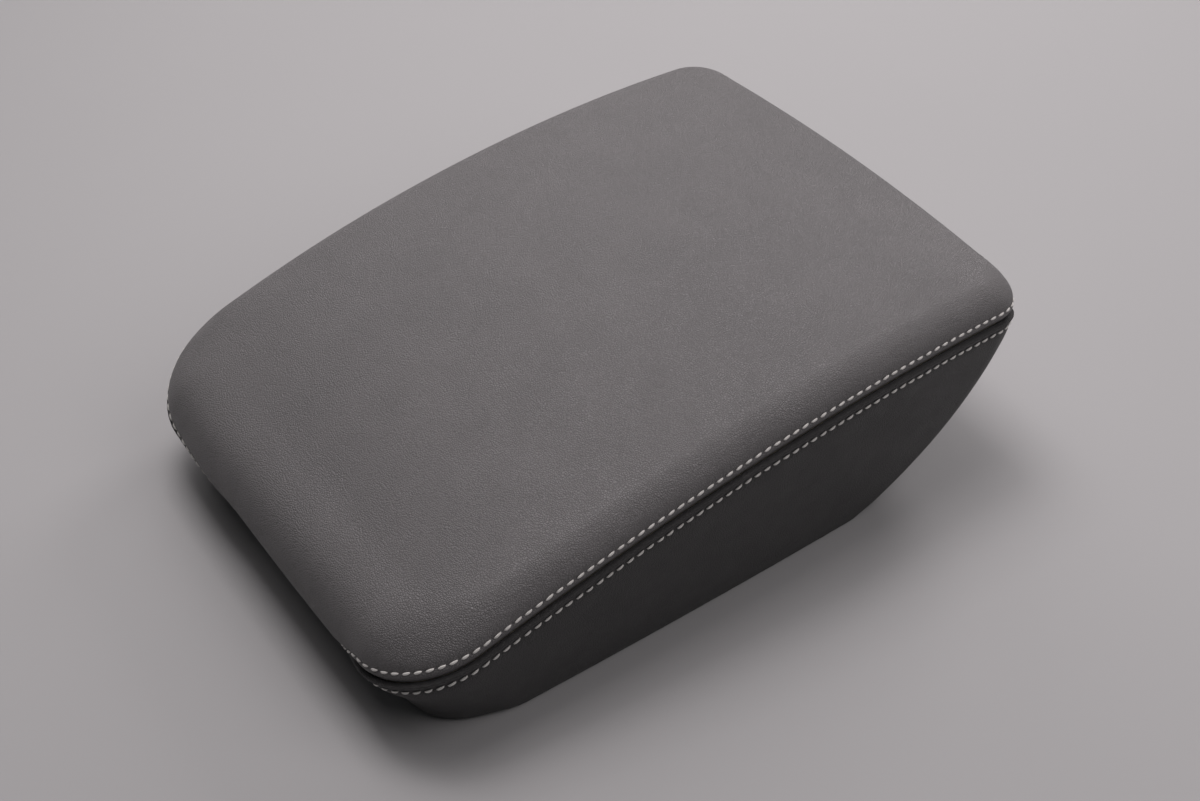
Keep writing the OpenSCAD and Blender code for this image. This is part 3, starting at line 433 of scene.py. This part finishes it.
def grid_faces(n, m, closed=False, flip=False, start=0):
    """Quads of n columns of m points each."""
    out = []
    for i in range(n if closed else n - 1):
        j = (i + 1) % n
        for k in range(m - 1):
            a, b = start + i * m + k, start + j * m + k
            f = (a, a + 1, b + 1, b)
            out.append(f[::-1] if flip else f)
    return out


# Step between the places along the seam
SEAM_STEP = STITCH_PITCH / 5


def half_places(side):
    """Places round a half outline: fine along the seam, even along the plain ends."""
    end = float(by_side(side, 1))
    first, last = (float(run_at(v, side)) for v in (end + 0.012, SEAM_END_REAR - 0.012))
    along = u_at(np.linspace(first, last, int((last - first) / SEAM_STEP)), side)
    return np.concatenate([np.linspace(0, end - 0.01, 22), [end, end + 0.006], along,
                           [SEAM_END_REAR - 0.006, SEAM_END_REAR],
                           np.linspace(SEAM_END_REAR + 0.01, 5, 26)])


# Distances from the seam at which the sewn zone is sampled
NEAR = np.array([0.0, 0.12, 0.3, 0.6, 1.0, 1.45, 1.9, 2.35, 2.8, 3.15, 3.5, 3.8, 4.1, 4.5,
                 5.1, 5.9, 6.9, 8.2, 10.0, 12.5])
# Distances above the rim at which the plain ends' hem is sampled, and the last of them
HEM = np.array([-HEM_WIDTH, -2.2, -0.7, -0.1, 0.5, 1.5])
HEM_TOP = HEM[-1]


def on_seam(u, side):
    """Whether the seam passes each place, and the nearest place that it passes."""
    end = by_side(side, 1)
    return ((u > end + 0.01) & (u < SEAM_END_REAR - 0.01),
            np.clip(u, end + 0.012, SEAM_END_REAR - 0.012))


def top_rings(u, side):
    """Rings of the top cover at each place, one row per place."""
    h = face_len(u)
    seamed, nearest = on_seam(u, side)
    k = seam_k(nearest, side)
    low = np.where(seamed, seam_s(u, side), SEAM_FOOT - h)
    near = low[:, None] + SEAM_EDGE + NEAR[None, :] * k[:, None]
    end = near[:, -1]
    climb = np.linspace(0, 1, len(NEAR) - len(HEM) + 1)[1:]
    rise = (end + h - HEM_TOP)[:, None] * climb[None, :]
    plain = np.concatenate([HEM[None, :] - h[:, None], (HEM_TOP - h)[:, None] + rise], 1)
    near = np.where(seamed[:, None], near, plain)
    far = np.linspace(0, 1, 29)[1:]
    roll = end[:, None] + (ROLL_S - end[:, None]) * far[None, :]
    crown = ROLL_S + CROWN_S * (np.linspace(0, 1, 17)[1:-1] ** 1.15)[None, :]
    return np.concatenate([near, roll, np.repeat(crown, len(u), 0)], 1)


def both_sides():
    """Places and side signs once round the armrest."""
    far, near = half_places(1), half_places(-1)[1:-1][::-1]
    return (np.concatenate([far, near]),
            np.concatenate([np.ones(len(far)), -np.ones(len(near))]))


# The panel's simulation: rings of a square grid, frames, pressure, cap on the rise, share of
# the square that lies on the crown, and gap between the panel's edge and the seam
SIM_RINGS = 22
SIM_FRAMES = 20
SIM_PRESSURE = 4.0
SIM_CAP = 1.6
SIM_CROWN = 0.79
SIM_GAP = 10
# Places round half the outline, the distance along it, and where the square's corners lie
TURN_U = np.linspace(0, 5, 1001)
TURN_XY = np.stack(outline(TURN_U, 0.0, 0.0, 0.0, FRONT_CORNER_R, REAR_CORNER_R), 1)
TURN_RUN = np.concatenate([[0], np.cumsum(np.linalg.norm(np.diff(TURN_XY, axis=0), axis=1))])
QUARTERS = np.interp([0, 1.5, 3.5, 5], TURN_U, TURN_RUN)


def lowest_sim(u, side):
    """Lower edge of the simulated panel: just above the sewn zone, or above the hem."""
    seamed, nearest = on_seam(u, side)
    low = np.where(seamed, seam_s(u, side), SEAM_FOOT - face_len(u))
    return low + SIM_GAP * seam_k(nearest, side)


def from_square(a, b):
    """Place and distance on the skin of a point of the square grid, and its side's sign."""
    r = np.maximum(np.maximum(np.abs(a), np.abs(b)), 1e-6)
    y, x = np.abs(b) / r, a / r
    run = np.where(x <= -1 + 1e-6, lerp(QUARTERS[0], QUARTERS[1], y),
                   np.where(x >= 1 - 1e-6, lerp(QUARTERS[3], QUARTERS[2], y),
                            lerp(QUARTERS[1], QUARTERS[2], (x + 1) / 2)))
    u = np.interp(run, TURN_RUN, TURN_U)
    on_crown = ROLL_S + CROWN_S * (1 - r / SIM_CROWN)
    side = np.where(b < 0, -1.0, 1.0)
    on_roll = lerp(ROLL_S, lowest_sim(u, side), (r - SIM_CROWN) / (1 - SIM_CROWN))
    return u, np.where(r < SIM_CROWN, on_crown, on_roll), side


def to_square(u, s, side):
    """The inverse of from_square."""
    r_roll = SIM_CROWN + (1 - SIM_CROWN) * (ROLL_S - s) / (ROLL_S - lowest_sim(u, side))
    r = np.clip(np.where(s >= ROLL_S, SIM_CROWN * (1 - (s - ROLL_S) / CROWN_S), r_roll), 0, 1)
    run = np.interp(u, TURN_U, TURN_RUN)
    part = [(run - QUARTERS[k]) / (QUARTERS[k + 1] - QUARTERS[k]) for k in range(3)]
    front, rear = run < QUARTERS[1], run > QUARTERS[2]
    a = np.where(front, -1.0, np.where(rear, 1.0, 2 * part[1] - 1))
    b = np.where(front, part[0], np.where(rear, 1 - part[2], 1.0))
    return a * r, b * r * side


def spline_weights(t):
    """Weights of four neighbours on a cubic B-spline."""
    return ((1 - t) ** 3 / 6, (3 * t ** 3 - 6 * t ** 2 + 4) / 6,
            (-3 * t ** 3 + 3 * t ** 2 + 3 * t + 1) / 6, t ** 3 / 6)


def simulate_panel():
    """Rise of a coarse panel over the foam, pinned along its sewn and hemmed edge."""
    w = 2 * SIM_RINGS + 1
    line = np.linspace(-1, 1, w)
    a, b = np.meshgrid(line, line, indexing="ij")
    gu, gs, gside = from_square(a, b)
    start, normal = skin(gu, gs), outward(gu, gs)
    start[..., 1] *= gside
    normal[..., 1] *= gside
    faces = [(i * w + k, (i + 1) * w + k, (i + 1) * w + k + 1, i * w + k + 1)
             for i in range(w - 1) for k in range(w - 1)]
    obj = mesh_object("panel_sim", start.reshape(-1, 3) * MM, faces)
    group = obj.vertex_groups.new(name="sewn")
    edge = np.maximum(np.abs(a), np.abs(b)).reshape(-1) > 0.999
    group.add([int(i) for i in np.where(edge)[0]], 1.0, "REPLACE")
    cloth = obj.modifiers.new("cloth", "CLOTH")
    settings = cloth.settings
    settings.quality = 6
    settings.mass = 0.15
    settings.tension_stiffness = 40
    settings.compression_stiffness = 40
    settings.shear_stiffness = 20
    settings.bending_stiffness = 8
    settings.use_pressure = True
    settings.uniform_pressure_force = SIM_PRESSURE
    settings.vertex_group_mass = "sewn"
    settings.effector_weights.gravity = 0
    cloth.point_cache.frame_start, cloth.point_cache.frame_end = 1, SIM_FRAMES
    for f in range(1, SIM_FRAMES + 1):
        bpy.context.scene.frame_set(f)
    graph = bpy.context.evaluated_depsgraph_get()
    done = obj.evaluated_get(graph).to_mesh()
    co = np.empty(len(done.vertices) * 3)
    done.vertices.foreach_get("co", co)
    rise = ((co.reshape(start.shape) / MM - start) * normal).sum(-1)
    bpy.data.objects.remove(obj)
    bpy.context.scene.frame_set(1)
    return SIM_CAP * np.tanh(rise / SIM_CAP)


def inflate(u, s, side):
    """Rise of the top panel where its foam presses it out, read smoothly from the
    coarse simulated panel."""
    rise = simulate_panel()
    w = len(rise)
    fa, fb = to_square(u, s, side)
    fa, fb = (fa + 1) * SIM_RINGS, (fb + 1) * SIM_RINGS
    i = np.clip(np.floor(fa).astype(int), 0, w - 2)
    k = np.clip(np.floor(fb).astype(int), 0, w - 2)
    out = 0
    for di, wa in zip((-1, 0, 1, 2), spline_weights(fa - i)):
        row = np.clip(i + di, 0, w - 1)
        for dk, wb in zip((-1, 0, 1, 2), spline_weights(fb - k)):
            out = out + wa * wb * rise[row, np.clip(k + dk, 0, w - 1)]
    return out


def make_top_cover():
    """The top cover: outer face, lining, and an edge between them."""
    u, side = both_sides()
    rings = top_rings(u, side)
    n, m = rings.shape
    uu = np.repeat(u[:, None], m, 1)
    ss = np.repeat(side[:, None], m, 1)
    rise = inflate(uu, rings, ss)
    outer = cover_points(uu, rings, ss)
    push = outward(uu, rings)
    push[..., 1] *= ss
    outer += rise[..., None] * push
    inner = lining_points(uu[:, ::4], rings[:, ::4], ss[:, ::4])
    m2 = inner.shape[1]
    verts = np.concatenate([outer.reshape(-1, 3), inner.reshape(-1, 3)])
    top = skin(np.array([0.0]), np.array([ROLL_S + CROWN_S]))[0]
    peak = outer[:, -1, 2].mean() + 0.02
    verts = np.concatenate([verts, [[0, 0, peak], top - [0, 0, COVER_T]]]) * MM
    faces = grid_faces(n, m, closed=True)
    base = n * m
    faces += grid_faces(n, m2, closed=True, flip=True, start=base)
    last = len(verts) - 2
    for i in range(n):
        j = (i + 1) % n
        faces.append((j * m + m - 1, i * m + m - 1, last))
        faces.append((base + i * m2 + m2 - 1, base + j * m2 + m2 - 1, last + 1))
        faces.append((i * m, j * m, base + j * m2, base + i * m2))
    return mesh_object("top_cover_leather", verts, faces)


def side_rings(u, side):
    """Rings of a side cover at each place, seam first and hem last."""
    h = face_len(u)
    k = seam_k(u, side)
    high = seam_s(u, side) - SEAM_EDGE
    tall = high + h
    reach = np.minimum(NEAR[-1] * k, tall * 0.7)
    near = high[:, None] - (NEAR / NEAR[-1])[None, :] * reach[:, None]
    low = near[:, -1]
    foot = -h + np.minimum(1.2, (low + h) * 0.3)
    down = low[:, None] + (foot - low)[:, None] * (np.linspace(0, 1, 15)[1:])[None, :]
    hem = np.stack([-h + 0.5, -h - 0.05, -h - 0.7, -h - 2.2, -h - HEM_WIDTH], 1)
    return np.concatenate([near, down, hem], 1)


def make_side_cover(name, sign):
    """A side cover: outer face, lining, and edges all round."""
    first, last = float(by_side(sign, 1)) + 0.02, SEAM_END_REAR - 0.02
    mid = half_places(sign)
    u = np.concatenate([[first], mid[(mid > first) & (mid < last)], [last]])
    rings = side_rings(u, sign)
    n, m = rings.shape
    uu = np.repeat(u[:, None], m, 1)
    outer = cover_points(uu, rings, np.full(uu.shape, float(sign)))
    inner = lining_points(uu[:, ::4], rings[:, ::4], sign)
    m2 = inner.shape[1]
    verts = np.concatenate([outer.reshape(-1, 3), inner.reshape(-1, 3)]) * MM
    turn = sign < 0
    faces = grid_faces(n, m, flip=turn)
    base = n * m
    faces += grid_faces(n, m2, flip=not turn, start=base)
    for i in range(n - 1):
        a = (i * m, (i + 1) * m, base + (i + 1) * m2, base + i * m2)
        b = (i * m + m - 1, base + i * m2 + m2 - 1, base + (i + 1) * m2 + m2 - 1,
             (i + 1) * m + m - 1)
        faces.append(a[::-1] if turn else a)
        faces.append(b[::-1] if turn else b)
    for i, way in ((0, not turn), (n - 1, turn)):
        row = [i * m + q for q in range(m)] + [base + i * m2 + q for q in range(m2)][::-1]
        faces.append(tuple(row[::-1] if way else row))
    return mesh_object(name, verts, faces)


# One stitch: places along its length, and the lift and girth of the thread at each
STITCH_ALONG = np.array([-0.5, -0.42, -0.28, -0.1, 0.1, 0.28, 0.42, 0.5])
STITCH_LIFT = np.array([-0.24, -0.03, 0.04, 0.06, 0.06, 0.04, -0.03, -0.24])
STITCH_GIRTH = np.array([0.34, 0.72, 1.04, 1.20, 1.20, 1.04, 0.72, 0.34])
STITCH_SLANT = 0.16
# The thread is pressed flat on the leather: share of its radius that stands up, its width
# and its height
THREAD_SEAT, THREAD_WIDE, THREAD_HIGH = 0.6, 1.15, 0.72
THREAD_SIDES = 10


def thread_points(path, normals, sign):
    """Points of a bent thread round its path."""
    t = np.gradient(path, axis=0)
    t /= np.linalg.norm(t, axis=1, keepdims=True)
    b = np.cross(t, normals)
    b /= np.linalg.norm(b, axis=1, keepdims=True)
    w = np.cross(b, t)
    verts = []
    for j in range(len(path)):
        for q in range(THREAD_SIDES):
            a = 2 * math.pi * q / THREAD_SIDES
            r = THREAD_R * STITCH_GIRTH[j]
            v = path[j] + r * (THREAD_WIDE * b[j] * math.cos(a)
                               + THREAD_HIGH * w[j] * math.sin(a))
            verts.append((v[0], v[1] * sign, v[2]))
    return verts


def thread_faces(first, rings, sign):
    """Faces of a thread whose points start at first: its rings and both ends."""
    sides = THREAD_SIDES
    faces = []
    for j in range(rings - 1):
        a, b = first + j * sides, first + (j + 1) * sides
        for q in range(sides):
            k = (q + 1) % sides
            faces.append((a + q, a + k, b + k, b + q))
    last = first + (rings - 1) * sides
    faces.append(tuple(range(first + sides - 1, first - 1, -1)))
    faces.append(tuple(range(last, last + sides)))
    return faces if sign > 0 else [f[::-1] for f in faces]


def make_stitches(name, sign, way, seed):
    """One row of stitches: each is a bent thread whose ends go down into the leather."""
    rng = np.random.default_rng(seed)
    start = float(run_at(by_side(sign, 1) + 0.08, sign))
    stop = float(run_at(SEAM_END_REAR - 0.1, sign))
    first_stitch = math.ceil(start / STITCH_PITCH - 0.5)
    verts, faces = [], []
    for i in range(int((stop - start) / STITCH_PITCH)):
        centre = (first_stitch + i + 0.5) * STITCH_PITCH + rng.uniform(-0.10, 0.10)
        length = STITCH_SHOWS * rng.uniform(0.95, 1.05)
        slant = STITCH_SLANT + rng.uniform(-0.08, 0.08)
        u = u_at(centre + STITCH_ALONG * length, sign)
        off = way * STITCH_OFFSET + slant * STITCH_ALONG * 2
        s = seam_s(u, sign) + off * seam_k(u, sign)
        n = outward(u, s)
        base = flared_skin(u, s) + sewn_lift(u, s, sign)[:, None] * n
        path = base + (THREAD_R * THREAD_SEAT + STITCH_LIFT)[:, None] * n
        faces += thread_faces(len(verts), len(path), sign)
        verts += thread_points(path, n, sign)
    return mesh_object(name, np.array(verts) * MM, faces)


# Materials


def new_material(name):
    """A material, its node tree and its shader."""
    mat = bpy.data.materials.new(name)
    mat.use_nodes = True
    tree = mat.node_tree
    return mat, tree, tree.nodes["Principled BSDF"]


def coords(tree):
    return tree.nodes.new("ShaderNodeTexCoord").outputs["Object"]


def noise(tree, vector, scale, detail=3.0, rough=0.5):
    node = tree.nodes.new("ShaderNodeTexNoise")
    node.inputs["Scale"].default_value = scale
    node.inputs["Detail"].default_value = detail
    node.inputs["Roughness"].default_value = rough
    tree.links.new(vector, node.inputs["Vector"])
    return node.outputs["Fac"]


def ramp(tree, value, low, high, a, b):
    node = tree.nodes.new("ShaderNodeMapRange")
    node.inputs["From Min"].default_value = low
    node.inputs["From Max"].default_value = high
    node.inputs["To Min"].default_value = a
    node.inputs["To Max"].default_value = b
    tree.links.new(value, node.inputs["Value"])
    return node.outputs["Result"]


def mix_colour(tree, factor, a, b):
    node = tree.nodes.new("ShaderNodeMix")
    node.data_type = "RGBA"
    node.inputs[6].default_value = (*a, 1)
    node.inputs[7].default_value = (*b, 1)
    tree.links.new(factor, node.inputs[0])
    return node.outputs[2]


def maths(tree, how, a, b):
    node = tree.nodes.new("ShaderNodeMath")
    node.operation = how
    for i, v in enumerate((a, b)):
        if isinstance(v, (int, float)):
            node.inputs[i].default_value = v
        else:
            tree.links.new(v, node.inputs[i])
    return node.outputs[0]


def bump(tree, shader, height, strength, distance):
    node = tree.nodes.new("ShaderNodeBump")
    node.inputs["Strength"].default_value = strength
    node.inputs["Distance"].default_value = distance
    tree.links.new(height, node.inputs["Height"])
    tree.links.new(node.outputs["Normal"], shader.inputs["Normal"])


# Leather: scales of the pebbles' warp, the pebbles, the pores, the colour's drift and the
# wear, then the warp's reach, the pores' share, the grain's strength and height in metres
WARP, PEBBLES, PORES, DRIFT, WEAR = 260, 1150, 2600, 38, 90
WARP_REACH = 0.0012
PORE_SHARE = 0.45
GRAIN, GRAIN_HEIGHT = 0.75, 0.00026


def leather(name, colour, dark, rough, seed):
    """Fine pebbled leather: small cells, finer pores and a soft drift of colour."""
    mat, tree, shader = new_material(name)
    at = coords(tree)
    shift = tree.nodes.new("ShaderNodeMapping")
    shift.inputs["Location"].default_value = (seed, seed * 0.37, seed * 0.71)
    tree.links.new(at, shift.inputs["Vector"])
    at = shift.outputs["Vector"]
    warp = tree.nodes.new("ShaderNodeTexNoise")
    warp.inputs["Scale"].default_value = WARP
    tree.links.new(at, warp.inputs["Vector"])
    bend = tree.nodes.new("ShaderNodeVectorMath")
    bend.operation = "MULTIPLY_ADD"
    bend.inputs[1].default_value = (WARP_REACH,) * 3
    tree.links.new(warp.outputs["Color"], bend.inputs[0])
    tree.links.new(at, bend.inputs[2])
    cells = tree.nodes.new("ShaderNodeTexVoronoi")
    cells.feature = "DISTANCE_TO_EDGE"
    cells.inputs["Scale"].default_value = PEBBLES
    tree.links.new(bend.outputs[0], cells.inputs["Vector"])
    pebble = ramp(tree, cells.outputs["Distance"], 0.0, 0.22, 0.0, 1.0)
    fine = noise(tree, at, PORES, 2.0)
    broad = noise(tree, at, DRIFT, 3.0)
    height = maths(tree, "ADD", pebble, maths(tree, "MULTIPLY", fine, PORE_SHARE))
    bump(tree, shader, height, GRAIN, GRAIN_HEIGHT)
    tint = mix_colour(tree, ramp(tree, broad, 0.35, 0.65, 0.0, 1.0), dark, colour)
    crease = tree.nodes.new("ShaderNodeMix")
    crease.data_type = "RGBA"
    crease.blend_type = "MULTIPLY"
    tree.links.new(ramp(tree, pebble, 0.0, 1.0, 0.55, 0.0), crease.inputs[0])
    tree.links.new(tint, crease.inputs[6])
    crease.inputs[7].default_value = (0.45, 0.45, 0.45, 1)
    tree.links.new(crease.outputs[2], shader.inputs["Base Color"])
    wear = noise(tree, at, WEAR, 4.0)
    tree.links.new(ramp(tree, wear, 0.3, 0.7, rough - 0.05, rough + 0.07),
                   shader.inputs["Roughness"])
    shader.inputs["Specular IOR Level"].default_value = 0.5
    shader.inputs["Sheen Weight"].default_value = 0.08
    shader.inputs["Sheen Roughness"].default_value = 0.5
    return mat


def thread_material():
    """Light bonded thread with a faint fuzz."""
    mat, tree, shader = new_material("thread")
    at = coords(tree)
    fuzz = noise(tree, at, 3200, 3.0)
    tree.links.new(mix_colour(tree, fuzz, (0.66, 0.64, 0.61), (0.93, 0.91, 0.87)),
                   shader.inputs["Base Color"])
    shader.inputs["Roughness"].default_value = 0.62
    bump(tree, shader, fuzz, 0.5, 0.0002)
    return mat


def plastic(name, colour, rough, grain):
    """Moulding with a spark-eroded grain."""
    mat, tree, shader = new_material(name)
    at = coords(tree)
    spark = noise(tree, at, grain, 4.0, 0.6)
    drift = noise(tree, at, 25, 2.0)
    lighter = tuple(min(1.0, c * 1.25 + 0.004) for c in colour)
    tree.links.new(mix_colour(tree, drift, colour, lighter), shader.inputs["Base Color"])
    tree.links.new(ramp(tree, spark, 0.3, 0.7, rough - 0.06, rough + 0.08),
                   shader.inputs["Roughness"])
    bump(tree, shader, spark, 0.35, 0.0002)
    return mat


def steel(name, colour, rough, stretch):
    """Steel with fine drawn lines along one direction and a cloudy plating."""
    mat, tree, shader = new_material(name)
    at = coords(tree)
    scale = tree.nodes.new("ShaderNodeMapping")
    scale.inputs["Scale"].default_value = stretch
    tree.links.new(at, scale.inputs["Vector"])
    lines = noise(tree, scale.outputs["Vector"], 900, 3.0)
    cloud = noise(tree, at, 60, 4.0)
    darker = tuple(c * 0.72 for c in colour)
    tree.links.new(mix_colour(tree, cloud, darker, colour), shader.inputs["Base Color"])
    shader.inputs["Metallic"].default_value = 1.0
    tree.links.new(ramp(tree, lines, 0.3, 0.7, rough - 0.08, rough + 0.1),
                   shader.inputs["Roughness"])
    bump(tree, shader, lines, 0.15, 0.0001)
    return mat


def foam_material():
    """Moulded foam with open pores."""
    mat, tree, shader = new_material("foam")
    at = coords(tree)
    pores = tree.nodes.new("ShaderNodeTexVoronoi")
    pores.inputs["Scale"].default_value = 900
    tree.links.new(at, pores.inputs["Vector"])
    hollow = ramp(tree, pores.outputs["Distance"], 0.1, 0.6, 1.0, 0.0)
    tree.links.new(mix_colour(tree, hollow, (0.72, 0.65, 0.44), (0.56, 0.50, 0.33)),
                   shader.inputs["Base Color"])
    shader.inputs["Roughness"].default_value = 0.9
    bump(tree, shader, pores.outputs["Distance"], 0.6, 0.0005)
    return mat


# The top's leather is written more than four times lighter than the side's, though both are
# one leather. That lift on the top is painted sheen: it stands in for the light the top
# catches from the lamps overhead. The side's darker colour is the leather's own.
MATERIALS = {
    "leather_top": leather("leather_top", (0.172, 0.164, 0.165), (0.160, 0.153, 0.154),
                           0.50, 0.3),
    "leather_side": leather("leather_side", (0.038, 0.0365, 0.0365), (0.033, 0.0315, 0.0315),
                            0.56, 1.7),
    "thread": thread_material(),
    "foam": foam_material(),
    "core_plastic": plastic("core_plastic", (0.055, 0.055, 0.058), 0.55, 700),
    "trim_plastic": plastic("trim_plastic", (0.026, 0.026, 0.028), 0.48, 1500),
    "hinge_steel": steel("hinge_steel", (0.46, 0.46, 0.47), 0.36, (1.0, 12.0, 12.0)),
    "pin_steel": steel("pin_steel", (0.62, 0.62, 0.63), 0.26, (12.0, 1.0, 12.0)),
    "screw_steel": steel("screw_steel", (0.07, 0.07, 0.075), 0.40, (3.0, 3.0, 3.0)),
    "spring_wire": steel("spring_wire", (0.52, 0.52, 0.54), 0.28, (4.0, 4.0, 4.0)),
    "rubber": plastic("rubber", (0.020, 0.020, 0.020), 0.78, 500),
    "washer_plastic": plastic("washer_plastic", (0.68, 0.64, 0.52), 0.42, 800),
}
slot_of = {row["node"]: row["material_slot"] for row in frame["record"]["subparts"]}
for node_name, node_object in frame["nodes"].items():
    material = MATERIALS[slot_of[node_name]]
    for k in range(len(node_object.material_slots)):
        node_object.material_slots[k].material = material
    if not node_object.material_slots:
        node_object.data.materials.append(material)


def dress(obj, slot_name, node):
    """Put a piece of the lid in the place of its solid."""
    obj.data.materials.append(MATERIALS[slot_name])
    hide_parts(node)
    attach(obj, "lid")
    return obj


# The top cover takes the lighter copy of the leather, whose lift over the side's colour is
# painted sheen.
dress(make_top_cover(), "leather_top", "top_cover")
for hand, sign in (("left", -1), ("right", 1)):
    panel = make_side_cover("side_cover_leather_" + hand, sign)
    dress(panel, "leather_side", "side_cover_" + hand)
    for level, way in (("upper", 1), ("lower", -1)):
        row = make_stitches(f"stitches_{level}_{hand}", sign, way, 5 + sign + 3 * way)
        dress(row, "thread", f"topstitch_{level}_{hand}")


def make_spring():
    """The latch spring, copied as it stands in the place of its solid."""
    source = frame["nodes"]["latch_spring"]
    mesh = source.data.copy()
    mesh.transform(source.matrix_world)
    obj = add_object("latch_spring_sprung", mesh)
    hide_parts("latch_spring")
    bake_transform(obj)


make_spring()


# Floor, light and camera


FLOOR_HALF = 6.0


def floor_material():
    """Plain pale grey board with a faint cloud."""
    mat, tree, shader = new_material("floor")
    at = coords(tree)
    cloud = noise(tree, at, 3.0, 3.0)
    tree.links.new(mix_colour(tree, cloud, (0.405, 0.40, 0.402), (0.425, 0.42, 0.422)),
                   shader.inputs["Base Color"])
    shader.inputs["Roughness"].default_value = 0.85
    return mat


def make_floor():
    mesh = bpy.data.meshes.new("floor")
    corners = ((-1, -1), (1, -1), (1, 1), (-1, 1))
    mesh.from_pydata([(x * FLOOR_HALF, y * FLOOR_HALF, 0) for x, y in corners],
                     [], [(0, 1, 2, 3)])
    mesh.materials.append(floor_material())
    add_object("floor", mesh)


# Lamps: direction from the object (azimuth from +X towards +Y, elevation), distance, size
# and watts
AIM = Vector((0, 0, 0.05))
LAMP_COLOUR = (1.0, 0.955, 0.967)
LAMPS = [
    ("overhead_wide", 90, 75, 1.2, 1.0, 3.0),
    ("overhead", 90, 72, 1.2, 0.45, 3.1),
    ("top", 90, 82, 1.2, 0.5, 3.0),
    ("rear", 20, 35, 1.1, 0.4, 2.9),
    ("far_side", 68, 30, 1.2, 0.8, 2.8),
    ("near_side", -60, 50, 1.2, 0.8, 3.6),
]
WORLD_COLOUR, WORLD_STRENGTH = (0.9, 0.92, 0.95, 1), 0.05


def make_lamp(name, azimuth, elevation, distance, size, watts):
    data = bpy.data.lights.new(name, "AREA")
    data.shape = "RECTANGLE"
    data.size = data.size_y = size
    data.energy = watts
    data.color = LAMP_COLOUR
    a, e = math.radians(azimuth), math.radians(elevation)
    flat = distance * math.cos(e)
    place = Vector((flat * math.cos(a), flat * math.sin(a), distance * math.sin(e)))
    obj = add_object(name, data)
    obj.location = place
    obj.rotation_mode = "QUATERNION"
    obj.rotation_quaternion = (AIM - place).to_track_quat("-Z", "Y")


def make_world():
    world = bpy.data.worlds.new("studio")
    bpy.context.scene.world = world
    world.use_nodes = True
    background = world.node_tree.nodes["Background"]
    background.inputs["Color"].default_value = WORLD_COLOUR
    background.inputs["Strength"].default_value = WORLD_STRENGTH


# Camera solved from the photograph's edges and stitches: pixels, degrees, millimetres
FOCAL_PX = 1667.0
IMAGE_W, IMAGE_H = 1200, 801
AIM_PX = (580.97, 392.08)
AZIMUTH, ELEVATION, DISTANCE = -35.11, 42.64, 726.4
AIM_POINT = Vector((0, 0, 30.0)) * MM
FILM_MM = 36.0


def make_camera():
    """A camera that shows the aim point at its pixel of the photograph."""
    a, e = math.radians(AZIMUTH), math.radians(ELEVATION)
    back = Vector((math.sin(a) * math.cos(e), -math.cos(a) * math.cos(e), math.sin(e)))
    right = Vector((math.cos(a), math.sin(a), 0))
    up = back.cross(right)
    basis = Matrix((right, up, back))
    gx = (AIM_PX[0] - IMAGE_W / 2) / FOCAL_PX
    gy = -(AIM_PX[1] - IMAGE_H / 2) / FOCAL_PX
    yaw = math.atan(gx)
    pitch = math.atan(gy * math.cos(yaw))
    tilt = Matrix.Rotation(pitch, 3, "X")
    swing = Matrix.Rotation(-yaw, 3, "Y")
    to_camera = swing @ tilt @ basis
    data = bpy.data.cameras.new("camera")
    data.sensor_width = FILM_MM
    data.lens = FOCAL_PX / IMAGE_W * FILM_MM
    data.clip_start, data.clip_end = 0.01, 50
    obj = add_object("camera", data)
    obj.matrix_world = Matrix.Translation(AIM_POINT + back * DISTANCE * MM) @ (
        to_camera.transposed().to_4x4())
    bpy.context.scene.camera = obj


make_floor()
for lamp in LAMPS:
    make_lamp(*lamp)
make_world()
make_camera()
bpy.context.scene.view_settings.view_transform = "Standard"
